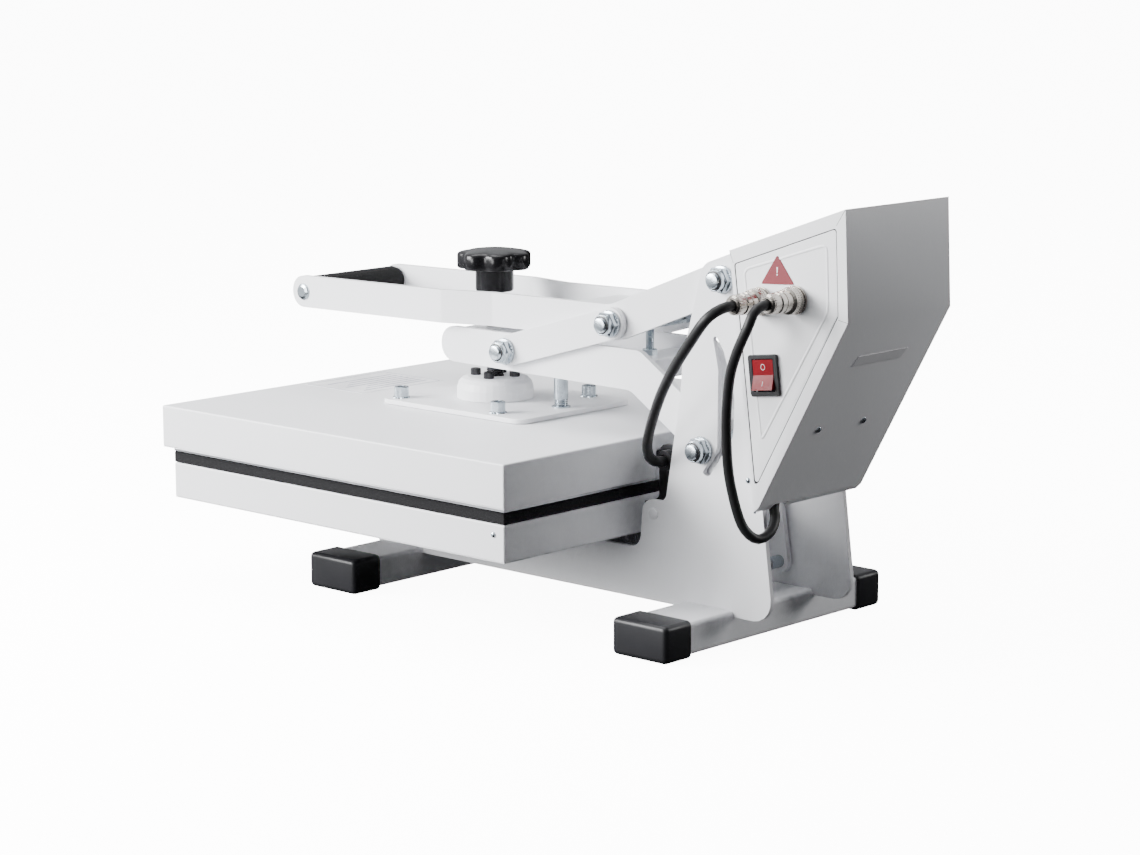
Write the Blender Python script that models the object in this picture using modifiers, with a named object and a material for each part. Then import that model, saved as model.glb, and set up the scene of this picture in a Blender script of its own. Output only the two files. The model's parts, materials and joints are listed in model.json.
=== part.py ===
"""Clamshell heat press, 38 x 38 cm, with a toggle lever and a rear control box.

Metres, +Z up. The operator stands at -Y, and the box is at +Y. X is the machine's right.
Shapes are placed in a design frame whose Y = 0 is the rear face of the head cover.
The root empty then centres the whole machine on Y = 0 with its feet on Z = 0.
"""

import math

import bmesh
import bpy
from mathutils import Vector

# ---------------------------------------------------------------- driving sizes
PLATEN = 0.380  # side of the square heating and lower platens
COVER_MARGIN = 0.0063  # cover beyond the platen on each side
COVER_H = 0.0347
SHEET = 0.0015  # folded sheet steel of the covers and the box
HEAD_Z = 0.1131  # lower edge of the head cover above the bench
HEATER_SHOWS = 0.0037  # heating platen below the cover's lower edge
HEATER_TOP = 0.0100
PAD_T = 0.0090
TRAY_H = 0.0293
TRAY_INSET = 0.0059  # rear face of the tray from the cover's rear face

GAP = 0.0003  # between pieces that rest on each other
RUN = 0.0004  # radial clearance of a shaft in its hole

FOOT_LENGTH = 0.2645  # across both end caps
TUBE_W = 0.0500
TUBE_H = 0.0250
TUBE_WALL = 0.0015
TUBE_FILLET = 0.0030
CAP_WALL = 0.0018
CAP_LENGTH = 0.0295
REAR_TUBE_Y = 0.0766  # centre of the rear foot tube
FRONT_TUBE_Y = -0.2590

BASE_HALF = 0.0513  # outer face of the side plates from the centre plane
BASE_T = 0.0040
LINK_T = 0.0050
ARM_T = 0.0050
LAYER_GAP = 0.0008  # between the outer layer and the arm and lever layer
BASE_BOTTOM = -0.0907  # side plates' lower edge, from HEAD_Z
BASE_BAR_TOP = -0.0508  # upper edge of their forward bar, from HEAD_Z
SUPPORT_END = 0.0150  # solid ends of the platen support

# Pivots as (Y, height above HEAD_Z)
LEVER_PIVOT = (0.0885, 0.1665)
ARM_PIVOT = (0.0691, 0.0343)
LINK_TOP = (-0.0241, 0.1223)  # link to lever
LINK_FOOT = (-0.1373, 0.0894)  # link to arm
TAIL_PIN = (0.0724, -0.0665)
ANCHOR = (-0.1700, -0.0640)  # front end of the springs
BOLT_R = 0.0060
NUT_FLANGE_R = 0.0108
NUT_FLANGE_T = 0.0022
NUT_FLATS = 0.0180
NUT_T = 0.0085
BOLT_END = 0.0030  # thread beyond the nut

ARM_WIDTH = 0.0290
ARM_TOP = 0.1030
ARM_NOSE = -0.2155
TAIL_R = 0.0100  # round lower end of the arm, about the tail pin
LINK_R = 0.0125
LEVER_R = 0.0150
HANDLE_H = 0.0270
HANDLE_HALF = 0.0570  # outer face of the wide part of the handle
GRIP_FROM_FRONT = 0.0229  # grip axis behind the cover's front face
GRIP_HEIGHT = 0.1178
GRIP_R = 0.0125
GRIP_ROD_R = 0.0050

SPINDLE_R = 0.0074
SCREW_OFFSET = -0.0020  # screw axis from the centre of the cover
HUB_R = 0.0320
HUB_H = 0.0179
MOUNT_T = 0.0040
MOUNT_SIZE = (0.136, 0.163)
MOUNT_FORWARD = 0.0694  # front edge of the mount plate from the screw axis
STUD_R = 0.0050
STUD_BEHIND = 0.0745  # guide stud from the screw axis
STUD_H = 0.0560
KNOB_R = 0.0310
KNOB_LOBE = 0.0018
KNOB_LOBES = 7
KNOB_H = 0.0170
STEM_R = 0.0158
STEM_H = 0.0190
KNOB_TOP = 0.1640

BOX_HALF = 0.0630
RIM = (0.0105, 0.0085, 0.0095, 0.0035)  # box rim: top, rear, rear slope, front
PANEL_T = 0.0013
PANEL_OUT = 0.0003  # raised field of the panel below the rim's face

SOCKETS = ((0.1350, 0.1555), (0.1674, 0.1592))
SOCKET_R = 0.0076
RING_R = 0.0098
PLUG_END = 0.0970  # cable end of each plug from the centre plane
SWITCH = (0.1396, 0.1008)
SWITCH_SIZE = (0.0270, 0.0310)
ROCKER_SIZE = (0.0190, 0.0226)
SWITCH_TILT = math.radians(7.2)
BUTTON_R = 0.0050
BUTTON_STANDS = 0.0020
DISPLAY_SIZE = (0.0500, 0.0220)

CABLE_R = 0.0040
CABLE_1 = (
    (0.0870, 0.1350, 0.1555), (0.0925, 0.1350, 0.1555), (0.0985, 0.1350, 0.1555),
    (0.1100, 0.1315, 0.1522), (0.1147, 0.1236, 0.1440), (0.1125, 0.1072, 0.1255),
    (0.1060, 0.0878, 0.1055), (0.0970, 0.0685, 0.0841), (0.0865, 0.0513, 0.0628),
    (0.0740, 0.0345, 0.0410), (0.0625, 0.0250, 0.0275), (0.0520, 0.0208, 0.0203),
    (0.0430, 0.0200, 0.0180), (0.0360, 0.0200, 0.0180), (0.0292, 0.0200, 0.0180),
)  # (X, Y, height above HEAD_Z), from the plug to the gland
CABLE_2 = (
    (0.0870, 0.1674, 0.1592), (0.0925, 0.1674, 0.1592), (0.0985, 0.1674, 0.1592),
    (0.1092, 0.1665, 0.1552), (0.1138, 0.1640, 0.1440), (0.1125, 0.1522, 0.1228),
    (0.1080, 0.1425, 0.1024), (0.1010, 0.1342, 0.0720), (0.0920, 0.1285, 0.0365),
    (0.0860, 0.1285, 0.0129), (0.0795, 0.1310, -0.0085), (0.0735, 0.1345, -0.0185),
    (0.0655, 0.1368, -0.0228), (0.0570, 0.1380, -0.0210), (0.0495, 0.1375, -0.0165),
    (0.0425, 0.1340, -0.0100), (0.0370, 0.1285, -0.0035), (0.0350, 0.1300, 0.0080),
    (0.0350, 0.1360, 0.0220), (0.0350, 0.1400, 0.0310),
)
CABLE_STEP = 0.0105

# ---------------------------------------------------------------- derived sizes
COVER = PLATEN + 2 * COVER_MARGIN
SCREW_Y = -COVER / 2 + SCREW_OFFSET
TUBE_Z = CAP_WALL + GAP
CAP_W = TUBE_W + 2 * (CAP_WALL + GAP)
CAP_H = TUBE_H + 2 * (CAP_WALL + GAP)
INNER_OUT = BASE_HALF - LINK_T - LAYER_GAP  # outer face of the arm and lever layer
INNER_IN = INNER_OUT - ARM_T
CROSS_HALF = INNER_IN - GAP  # half length of pieces between the arm or lever plates
GRIP_Y = -COVER + GRIP_FROM_FRONT
MOUNT_Z = HEAD_Z + COVER_H + GAP
BOX_CORNERS = (
    (0.1045, 0.1906), (0.2115, 0.2283), (0.2150, 0.1464), (0.1345, 0.0005), (0.1295, -0.0040),
)  # front top, rear top, knee, lower rear, lower front
BOX_REAR = max(y for y, _ in BOX_CORNERS)
CENTRE_Y = (BOX_REAR - COVER) / 2
FIELD_X = BOX_HALF - PANEL_OUT
CABLE_2_R = CABLE_R - 0.0002

OBJECT = "heat_press"


# ---------------------------------------------------------------- scene helpers
def clear_scene():
    for old in list(bpy.data.objects):
        bpy.data.objects.remove(old, do_unlink=True)
    for old in list(bpy.data.collections):
        bpy.data.collections.remove(old)


def new_collection(name):
    made = bpy.data.collections.new(name)
    bpy.context.scene.collection.children.link(made)
    return made


def new_material(name, colour, roughness, metallic=0.0):
    made = bpy.data.materials.new(name)
    made.use_nodes = True
    shader = made.node_tree.nodes["Principled BSDF"]
    shader.inputs["Base Color"].default_value = (*colour, 1.0)
    shader.inputs["Roughness"].default_value = roughness
    shader.inputs["Metallic"].default_value = metallic
    return made


clear_scene()
PARTS = new_collection(OBJECT)
CUTTERS = new_collection("cutters")
WHITE = new_material("white_powder_coat", (0.83, 0.84, 0.86), 0.45)
BLACK = new_material("black_plastic", (0.015, 0.015, 0.017), 0.35)
BAKELITE = new_material("black_bakelite", (0.010, 0.010, 0.011), 0.22)
FOAM = new_material("black_foam", (0.020, 0.020, 0.020), 0.90)
PAD = new_material("silicone_sponge", (0.030, 0.030, 0.032), 0.85)
RUBBER = new_material("cable_rubber", (0.020, 0.020, 0.022), 0.55)
ZINC = new_material("zinc_plate", (0.62, 0.66, 0.70), 0.28, 1.0)
STEEL = new_material("spring_steel", (0.30, 0.31, 0.32), 0.35, 1.0)
BLACK_STEEL = new_material("black_oxide_steel", (0.03, 0.03, 0.03), 0.40, 0.8)
NICKEL = new_material("nickel", (0.66, 0.63, 0.58), 0.25, 1.0)
ALUMINIUM = new_material("cast_aluminium", (0.55, 0.56, 0.57), 0.45, 1.0)
RED = new_material("red_rocker", (0.55, 0.01, 0.02), 0.20)
GLASS = new_material("smoked_window", (0.03, 0.02, 0.02), 0.08)
BOARD = new_material("circuit_board", (0.02, 0.16, 0.06), 0.50)


def new_empty(name, location, parent=None):
    made = bpy.data.objects.new(name, None)
    PARTS.objects.link(made)
    made.parent = parent
    made.location = location
    made.empty_display_size = 0.02
    return made


def above(height):
    """World height of a point given above the head's lower edge."""
    return HEAD_Z + height


def pivot(place, x=0.0):
    """Design point of a pivot given as (Y, height above the head's lower edge)."""
    return Vector((x, place[0], above(place[1])))


ROOT = new_empty(OBJECT + "_root", (0, -CENTRE_Y, 0))
SCREW_AXIS = Vector((0, SCREW_Y, MOUNT_Z))
FRAMES = {"base": Vector((0, 0, 0)), "arm": pivot(ARM_PIVOT), "lever": pivot(LEVER_PIVOT)}
FRAMES["link"] = pivot(LINK_FOOT)
FRAMES["head"] = SCREW_AXIS
FRAMES["knob"] = SCREW_AXIS
EMPTIES = {name: new_empty(name + "_axis", at, ROOT) for name, at in FRAMES.items()}


def add_frame(name, at):
    """A moving piece's own axis, for the pieces of the control box."""
    FRAMES[name] = Vector(at)
    EMPTIES[name] = new_empty(name + "_axis", at, ROOT)


def adopt(obj, body, material=None):
    """Parents an object that stands at its design place to a body's axis."""
    obj.parent = EMPTIES[body]
    obj.location = Vector(obj.location) - FRAMES[body]
    if material is not None:
        obj.data.materials.clear()
        obj.data.materials.append(material)
    return obj


def object_of(name, mesh, location=(0, 0, 0), rotation=(0, 0, 0)):
    made = bpy.data.objects.new(name, mesh)
    PARTS.objects.link(made)
    made.location = location
    made.rotation_euler = rotation
    return made


def make_cutter(obj):
    PARTS.objects.unlink(obj)
    CUTTERS.objects.link(obj)
    obj.hide_render = True
    obj.display_type = "WIRE"
    return obj


def combine(obj, other, operation):
    """Boolean with a helper object that is parented like obj."""
    if other.parent is None:
        other.parent = obj.parent
        if obj.parent is not None:
            other.location = Vector(other.location) - Vector(obj.parent.location)
    make_cutter(other)
    step = obj.modifiers.new(other.name, "BOOLEAN")
    step.operation = operation
    step.solver = "EXACT"
    step.object = other
    return obj


def cut(obj, *others):
    for other in others:
        combine(obj, other, "DIFFERENCE")
    return obj


def join(obj, *others):
    for other in others:
        combine(obj, other, "UNION")
    return obj


def shade(obj, angle=35):
    obj.data.shade_smooth()
    obj.data.set_sharp_from_angle(angle=math.radians(angle))
    return obj


def bevel(obj, width, segments=2):
    step = obj.modifiers.new("edge", "BEVEL")
    step.width = width
    step.segments = segments
    step.limit_method = "ANGLE"
    return obj


# ---------------------------------------------------------------- shape helpers
def block(name, low, high, rotation=(0, 0, 0)):
    """A box from two opposite corners, with its origin at its centre."""
    low, high = Vector(low), Vector(high)
    mesh = bpy.data.meshes.new(name)
    shape = bmesh.new()
    bmesh.ops.create_cube(shape, size=1.0)
    bmesh.ops.scale(shape, vec=high - low, verts=shape.verts)
    shape.to_mesh(mesh)
    shape.free()
    return object_of(name, mesh, (low + high) / 2, rotation)


def rod(name, start, end, radius, segments=20):
    """A solid cylinder from start to end."""
    start, end = Vector(start), Vector(end)
    mesh = bpy.data.meshes.new(name)
    shape = bmesh.new()
    bmesh.ops.create_cone(
        shape, cap_ends=True, segments=segments, radius1=radius, radius2=radius,
        depth=(end - start).length,
    )
    shape.to_mesh(mesh)
    shape.free()
    turn = (end - start).to_track_quat("Z", "Y").to_euler()
    return shade(object_of(name, mesh, (start + end) / 2, turn))


def turned(name, profile, at, toward, segments=24):
    """A turned solid. The profile is (radius, height) from the top of the axis, outside, to its foot."""
    mesh = bpy.data.meshes.new(name)
    shape = bmesh.new()
    ring = [shape.verts.new((radius, 0, height)) for radius, height in profile]
    pairs = list(zip(ring, ring[1:]))
    if profile[0][0] > 0:
        pairs.append((ring[-1], ring[0]))
    for first, second in pairs:
        shape.edges.new((first, second))
    shape.to_mesh(mesh)
    shape.free()
    turn = Vector(toward).to_track_quat("Z", "Y").to_euler()
    made = object_of(name, mesh, at, turn)
    spin = made.modifiers.new("turn", "SCREW")
    spin.steps = segments
    spin.render_steps = segments
    spin.use_merge_vertices = True
    spin.merge_threshold = 0.00001
    spin.use_smooth_shade = True
    return made


def rounded(corners, steps=5):
    """Points of a closed outline. Each corner is (u, v) or (u, v, radius), with a true arc."""
    points = []
    count = len(corners)
    for i, corner in enumerate(corners):
        here = Vector(corner[:2])
        radius = corner[2] if len(corner) > 2 else 0.0
        if radius <= 0:
            points.append(here)
            continue
        back = (Vector(corners[i - 1][:2]) - here).normalized()
        ahead = (Vector(corners[(i + 1) % count][:2]) - here).normalized()
        half = back.angle(ahead) / 2
        centre = here + (back + ahead).normalized() * (radius / math.sin(half))
        start = here + back * (radius / math.tan(half)) - centre
        end = here + ahead * (radius / math.tan(half)) - centre
        sweep = start.angle_signed(end)
        for k in range(steps + 1):
            turn = -sweep * k / steps
            c, s = math.cos(turn), math.sin(turn)
            points.append(centre + Vector((c * start.x - s * start.y, s * start.x + c * start.y)))
    return points


def circle(centre, radius, count=20):
    angles = [2 * math.pi * k / count for k in range(count)]
    return [(centre[0] + radius * math.cos(a), centre[1] + radius * math.sin(a)) for a in angles]


def shift(outline, height):
    return [(point[0], point[1] + height) for point in outline]


def rectangle(centre, size, tilt=0.0, radius=0.0):
    """Corners of a rectangle turned by tilt, each with its radius."""
    c, s = math.cos(tilt), math.sin(tilt)
    corners = []
    for a, b in ((-1, -1), (1, -1), (1, 1), (-1, 1)):
        u, v = a * size[0] / 2, b * size[1] / 2
        corners.append((centre[0] + c * u - s * v, centre[1] + s * u + c * v, radius))
    return corners


def inset(corners, margins):
    """A convex outline, clockwise, with the edge after each corner moved inwards by its margin."""
    edges = []
    for here, after, margin in zip(corners, [*corners[1:], corners[0]], margins):
        along = (Vector(after) - Vector(here)).normalized()
        edges.append((Vector(here) + Vector((along.y, -along.x)) * margin, along))
    found = []
    for (before, along), (start, ahead) in zip([edges[-1], *edges[:-1]], edges):
        reach = (start - before).cross(ahead) / along.cross(ahead)
        found.append(tuple(before + along * reach))
    return found


def extruded(name, outlines, low, high, turn, centre):
    """A flat outline with holes, made solid from low to high along its normal."""
    curve = bpy.data.curves.new(name, "CURVE")
    curve.dimensions = "2D"
    curve.fill_mode = "BOTH"
    curve.extrude = (high - low) / 2
    for outline in outlines:
        line = curve.splines.new("POLY")
        line.points.add(len(outline) - 1)
        for point, corner in zip(line.points, outline):
            point.co = (corner[0], corner[1], 0, 1)
        line.use_cyclic_u = True
    guide = object_of(name + "_outline", curve, centre, turn)
    bpy.context.view_layer.update()
    graph = bpy.context.evaluated_depsgraph_get()
    mesh = bpy.data.meshes.new_from_object(guide.evaluated_get(graph))
    mesh.name = name
    shape = bmesh.new()
    shape.from_mesh(mesh)
    bmesh.ops.remove_doubles(shape, verts=shape.verts, dist=0.000002)
    bmesh.ops.recalc_face_normals(shape, faces=shape.faces)
    shape.to_mesh(mesh)
    shape.free()
    made = object_of(name, mesh)
    made.matrix_world = guide.matrix_world
    bpy.data.objects.remove(guide, do_unlink=True)
    bpy.data.curves.remove(curve)
    return shade(made)


SIDEWAYS = (math.pi / 2, 0, math.pi / 2)  # an outline drawn as (Y, Z), solid along X


def side_plate(name, outline, x_low, x_high, holes=()):
    """A plate whose side view is the outline, in (Y, Z)."""
    return extruded(name, [outline, *holes], x_low, x_high, SIDEWAYS, ((x_low + x_high) / 2, 0, 0))


def flat_plate(name, outline, z_low, z_high, holes=()):
    """A plate whose top view is the outline, in (X, Y)."""
    return extruded(name, [outline, *holes], z_low, z_high, (0, 0, 0), (0, 0, (z_low + z_high) / 2))


def tilted_plate(name, size, centre, thickness, tilt, radius=0.0):
    """A rectangular plate lying on a plane that rises towards +Y by tilt."""
    outline = rounded(rectangle((0, 0), size, 0, radius), 3)
    return extruded(name, [outline], -thickness / 2, thickness / 2, (tilt, 0, 0), centre)


def smooth_route(points, step):
    """Points every step along a smooth curve through the given ones."""
    points = [Vector(p) for p in points]
    ends = [2 * points[0] - points[1], *points, 2 * points[-1] - points[-2]]
    dense = []
    for a, b, c, d in zip(ends, ends[1:], ends[2:], ends[3:]):
        for k in range(24):
            t = k / 24
            bend = (2 * a - 5 * b + 4 * c - d) * t * t + (3 * b - a - 3 * c + d) * t**3
            dense.append(b + ((c - a) * t + bend) / 2)
    dense.append(points[-1])
    lengths = [(q - p).length for p, q in zip(dense, dense[1:])]
    count = max(2, round(sum(lengths) / step))
    spacing = sum(lengths) / count
    route, walked = [dense[0]], 0.0
    for here, length in zip(dense[1:], lengths):
        walked += length
        if walked >= spacing and len(route) < count:
            route.append(here)
            walked -= spacing
    return [*route, dense[-1]]


def cable(name, route, radius, body):
    curve = bpy.data.curves.new(name, "CURVE")
    curve.dimensions = "3D"
    curve.bevel_depth = radius
    curve.bevel_resolution = 2
    curve.use_fill_caps = True
    points = smooth_route([(x, y, above(z)) for x, y, z in route], CABLE_STEP)
    line = curve.splines.new("POLY")
    line.points.add(len(points) - 1)
    for point, place in zip(line.points, points):
        point.co = (*place, 1)
    made = bpy.data.objects.new(name, curve)
    PARTS.objects.link(made)
    curve.materials.append(RUBBER)
    made.parent = EMPTIES[body]
    made.location = -FRAMES[body]
    return made


def sides():
    """Name ending and sign of the machine's two sides."""
    return (("right", 1), ("left", -1))


def span(sign, inner, outer):
    """X range of a piece between two distances from the centre plane."""
    return (inner, outer) if sign > 0 else (-outer, -inner)


def nut(name, place, sign, face):
    """A flange nut with the end of its bolt, standing on a face at that distance from the centre."""
    centre = pivot(place)
    washer = rod(name, centre + Vector((sign * face, 0, 0)),
                 centre + Vector((sign * (face + NUT_FLANGE_T), 0, 0)), NUT_FLANGE_R, 24)
    top = face + NUT_FLANGE_T + NUT_T
    hexagon = rod(name + "_hexagon", centre + Vector((sign * (face + NUT_FLANGE_T / 2), 0, 0)),
                  centre + Vector((sign * top, 0, 0)), NUT_FLATS / math.sqrt(3), 6)
    return washer, hexagon, top + BOLT_END


def through_bolt(name, place, face, body):
    """A pivot bolt with a flange nut on each side."""
    centre = pivot(place)
    reach = face + NUT_FLANGE_T + NUT_T + BOLT_END
    made = rod(name, centre - Vector((reach, 0, 0)), centre + Vector((reach, 0, 0)), BOLT_R)
    adopt(made, body, ZINC)
    for side, sign in sides():
        washer, hexagon, _ = nut(f"{name}_nut_{side}", place, sign, face)
        join(made, washer, hexagon)
    return made


# ---------------------------------------------------------------- feet
def foot_tube(name, y):
    half = FOOT_LENGTH / 2 - CAP_WALL - GAP
    centre = (y, TUBE_Z + TUBE_H / 2)
    outer = rounded(rectangle(centre, (TUBE_W, TUBE_H), 0, TUBE_FILLET), 3)
    bore = (TUBE_W - 2 * TUBE_WALL, TUBE_H - 2 * TUBE_WALL)
    hollow = rounded(rectangle(centre, bore, 0, TUBE_FILLET - TUBE_WALL), 3)
    made = adopt(side_plate(name, outer, -half, half, [hollow]), "base", WHITE)
    for side, sign in sides():
        low, high = span(sign, BASE_HALF - BASE_T - GAP, BASE_HALF + GAP)
        slot = block(f"{name}_slot_{side}", (low, y - TUBE_W, above(BASE_BOTTOM) - GAP),
                     (high, y + TUBE_W, TUBE_Z + 2 * TUBE_H))
        cut(made, slot)
    return made


def end_cap(name, y, sign):
    outer = FOOT_LENGTH / 2
    low, high = span(sign, outer - CAP_LENGTH, outer)
    shell = block(name, (low, y - CAP_W / 2, 0), (high, y + CAP_W / 2, CAP_H))
    adopt(shell, "base", BLACK)
    bevel(shell, CAP_WALL + GAP, 3)
    pocket_low, pocket_high = span(sign, outer - 2 * CAP_LENGTH, outer - CAP_WALL)
    size = (TUBE_W + 2 * GAP, TUBE_H + 2 * GAP)
    outline = rounded(rectangle((y, TUBE_Z + TUBE_H / 2), size, 0, TUBE_FILLET), 3)
    return cut(shell, side_plate(name + "_pocket", outline, pocket_low, pocket_high))


def feet():
    for place, y in (("front", FRONT_TUBE_Y), ("rear", REAR_TUBE_Y)):
        foot_tube(f"{place}_foot_tube", y)
        for side, sign in sides():
            end_cap(f"end_cap_{place}_{side}", y, sign)


# ---------------------------------------------------------------- base frame
def rear_edge(height):
    """Y of the side plates' straight rear edge, which the box stands against."""
    top, foot = BOX_CORNERS[0], BOX_CORNERS[-1]
    slope = (foot[0] - top[0]) / (foot[1] - top[1])
    return top[0] + slope * (height - top[1]) - 2 * GAP


BASE_CORNERS = (
    (FRONT_TUBE_Y - 0.029, BASE_BOTTOM, 0.008),
    (FRONT_TUBE_Y - 0.029, BASE_BAR_TOP, 0.012),
    (0.0070, BASE_BAR_TOP, 0.0110),
    (0.0102, -0.0112, 0.0100),
    (0.0330, -0.0105, 0.0070),
    (0.0478, 0.0770, 0.0400),
    (0.0498, 0.1060, 0.0150),
    (0.0588, 0.1380, 0.0300),
    (0.0690, 0.1765, 0.0130),
    (rear_edge(0.1895), 0.1895, 0.0020),
    (rear_edge(BASE_BOTTOM), BASE_BOTTOM, 0.0170),
)
WINDOW = (
    (0.0775, 0.1300, 0.0020), (0.0905, 0.1120, 0.0300), (0.1010, 0.0780, 0.0300),
    (0.1000, 0.0480, 0.0150), (0.0755, 0.0130, 0.0038), (0.0700, 0.0175, 0.0020),
    (0.0845, 0.0360, 0.0120), (0.0850, 0.0980, 0.0300),
)


def base_plates():
    outline = shift(rounded(BASE_CORNERS), HEAD_Z)
    holes = [shift(rounded(WINDOW, 4), HEAD_Z)]
    for place in (LEVER_PIVOT, ARM_PIVOT):
        holes.append(circle((place[0], above(place[1])), BOLT_R + RUN))
    for side, sign in sides():
        low, high = span(sign, BASE_HALF - BASE_T, BASE_HALF)
        adopt(side_plate(f"base_plate_{side}", outline, low, high, holes), "base", WHITE)


def rear_brace():
    """A plate welded between the side plates along their rear edges."""
    low, high, thick = 0.0200, 0.1400, 0.0025
    corners = [(rear_edge(low) - thick, low), (rear_edge(low), low), (rear_edge(high), high),
               (rear_edge(high) - thick, high)]
    half = BASE_HALF - BASE_T - GAP
    adopt(side_plate("rear_brace", shift(corners, HEAD_Z), -half, half), "base", WHITE)


def platen_support():
    """A hollowed bed that carries the lower platen on the side plates' upper edges."""
    low, high = above(BASE_BAR_TOP) + GAP, above(-TRAY_H - PAD_T - 0.0043) - GAP
    front, rear = FRONT_TUBE_Y - 0.020, -0.030
    half, inner = BASE_HALF + 0.009, BASE_HALF - BASE_T - 0.002
    pan = block("platen_support", (-half, front, low), (half, rear, high))
    hollow = block("platen_support_hollow", (-inner, front + SUPPORT_END, low - 0.01),
                   (inner, rear - SUPPORT_END, high - SHEET * 2))
    return cut(adopt(pan, "base", WHITE), hollow)


def lower_platen():
    bottom = above(-HEATER_SHOWS - 2 * GAP - PAD_T - TRAY_H)
    top = bottom + TRAY_H
    rear, half = -TRAY_INSET, PLATEN / 2
    tray = block("lower_platen_tray", (-half, rear - PLATEN, bottom), (half, rear, top))
    hollow = block("tray_hollow", (-half + SHEET, rear - PLATEN + SHEET, bottom - 0.01),
                   (half - SHEET, rear - SHEET, top - SHEET * 2))
    cut(adopt(tray, "base", WHITE), hollow)
    pad = block("silicone_pad", (-half, rear - PLATEN, top + GAP),
                (half, rear, top + GAP + PAD_T))
    adopt(pad, "base", PAD)


def spring_line(share, x):
    """A point between the front anchor and the tail pin."""
    return pivot(ANCHOR, x).lerp(pivot(TAIL_PIN, x), share)


SPRING_X = 0.0227
SPRING_R = 0.0105


def springs():
    reach = BASE_HALF - BASE_T - GAP
    anchor = rod("spring_anchor_rod", pivot(ANCHOR, -reach), pivot(ANCHOR, reach), STUD_R)
    adopt(anchor, "base", ZINC)
    for side, sign in sides():
        coil = rod(f"counter_spring_{side}", spring_line(0.07, sign * SPRING_X),
                   spring_line(0.93, sign * SPRING_X), SPRING_R, 16)
        adopt(coil, "base", STEEL)


def base_bolts():
    through_bolt("lever_pivot_bolt", LEVER_PIVOT, BASE_HALF + GAP, "base")
    through_bolt("arm_pivot_bolt", ARM_PIVOT, BASE_HALF + GAP, "base")


GLAND = CABLE_1[-1]  # where the heater cable ends
BRACKET_X = 0.0280
BRACKET_T = 0.0030
GLAND_R = 0.0080
GLAND_END = 0.0385
CABLE_BORE = CABLE_R + 0.0006


def cable_bracket():
    """A bracket on the rear of the tray whose ear holds the heater cable's gland."""
    foot = -TRAY_INSET + GAP
    corners = [
        (foot, -0.0400, 0.002), (foot, -0.0180, 0.001), (0.0090, -0.0140, 0.004),
        (0.0090, 0.0300, 0.008), (0.0320, 0.0300, 0.008), (0.0320, -0.0120, 0.006),
        (0.0090, -0.0400, 0.006),
    ]
    outline = shift(rounded(corners, 3), HEAD_Z)
    made = side_plate("cable_bracket", outline, BRACKET_X, BRACKET_X + BRACKET_T)
    adopt(made, "base", BLACK_STEEL)
    tab = block("bracket_tab", (BRACKET_X - 0.020, foot, above(-0.0390)),
                (BRACKET_X + BRACKET_T / 2, foot + BRACKET_T, above(-0.0200)))
    centre = pivot(GLAND[1:])
    face = Vector((BRACKET_X + BRACKET_T / 2, 0, 0))
    gland = rod("gland_body", centre + face, centre + Vector((GLAND_END, 0, 0)), GLAND_R, 20)
    join(made, tab, gland)
    return cut(made, rod("gland_bore", centre, centre + Vector((0.0600, 0, 0)), CABLE_BORE, 16))


# ---------------------------------------------------------------- arm
ARM_CORNERS = (
    (ARM_NOSE, ARM_TOP - ARM_WIDTH, ARM_WIDTH * 0.485),
    (ARM_NOSE, ARM_TOP, ARM_WIDTH * 0.485),
    (0.0008, ARM_TOP, 0.0120),
    (0.0880, 0.0446, 0.0160),
    (0.0700, 0.0020, 0.0200),
    (TAIL_PIN[0] + TAIL_R, TAIL_PIN[1] - TAIL_R, TAIL_R * 0.97),
    (TAIL_PIN[0] - TAIL_R, TAIL_PIN[1] - TAIL_R, TAIL_R * 0.97),
    (0.0480, -0.0020, 0.0150),
    (0.0540, 0.0300, 0.0100),
    (-0.0085, 0.0710, 0.0150),
)


def arm_plates():
    outline = shift(rounded(ARM_CORNERS), HEAD_Z)
    holes = [circle((p[0], above(p[1])), BOLT_R + RUN) for p in (ARM_PIVOT, LINK_FOOT)]
    for side, sign in sides():
        low, high = span(sign, INNER_IN, INNER_OUT)
        adopt(side_plate(f"arm_plate_{side}", outline, low, high, holes), "arm", WHITE)


WEB_Z = 0.0760
WEB_T = 0.0040
NUT_BLOCK_HALF = 0.0150
NUT_BLOCK_TOP = 0.0990


def arm_crosshead():
    """The welded web between the arm plates, with the nut block of the pressure screw."""
    front, rear = SCREW_Y - NUT_BLOCK_HALF, SCREW_Y + STUD_BEHIND + 0.025
    web = block("arm_crosshead", (-CROSS_HALF, front, above(WEB_Z)),
                (CROSS_HALF, rear, above(WEB_Z + WEB_T)))
    adopt(web, "arm", WHITE)
    boss = block("nut_block", (-CROSS_HALF, front, above(WEB_Z)),
                 (CROSS_HALF, SCREW_Y + NUT_BLOCK_HALF, above(NUT_BLOCK_TOP)))
    join(web, boss)
    for name, y, radius in (
        ("screw_hole", SCREW_Y, SPINDLE_R + RUN),
        ("stud_hole", SCREW_Y + STUD_BEHIND, STUD_R + RUN),
    ):
        cut(web, rod(name, (0, y, above(WEB_Z - 0.02)), (0, y, above(NUT_BLOCK_TOP + 0.02)), radius))
    return web


STOP_Y = -0.0280
STOP_TOP = 0.1130
STOP_R = 0.0030


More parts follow.
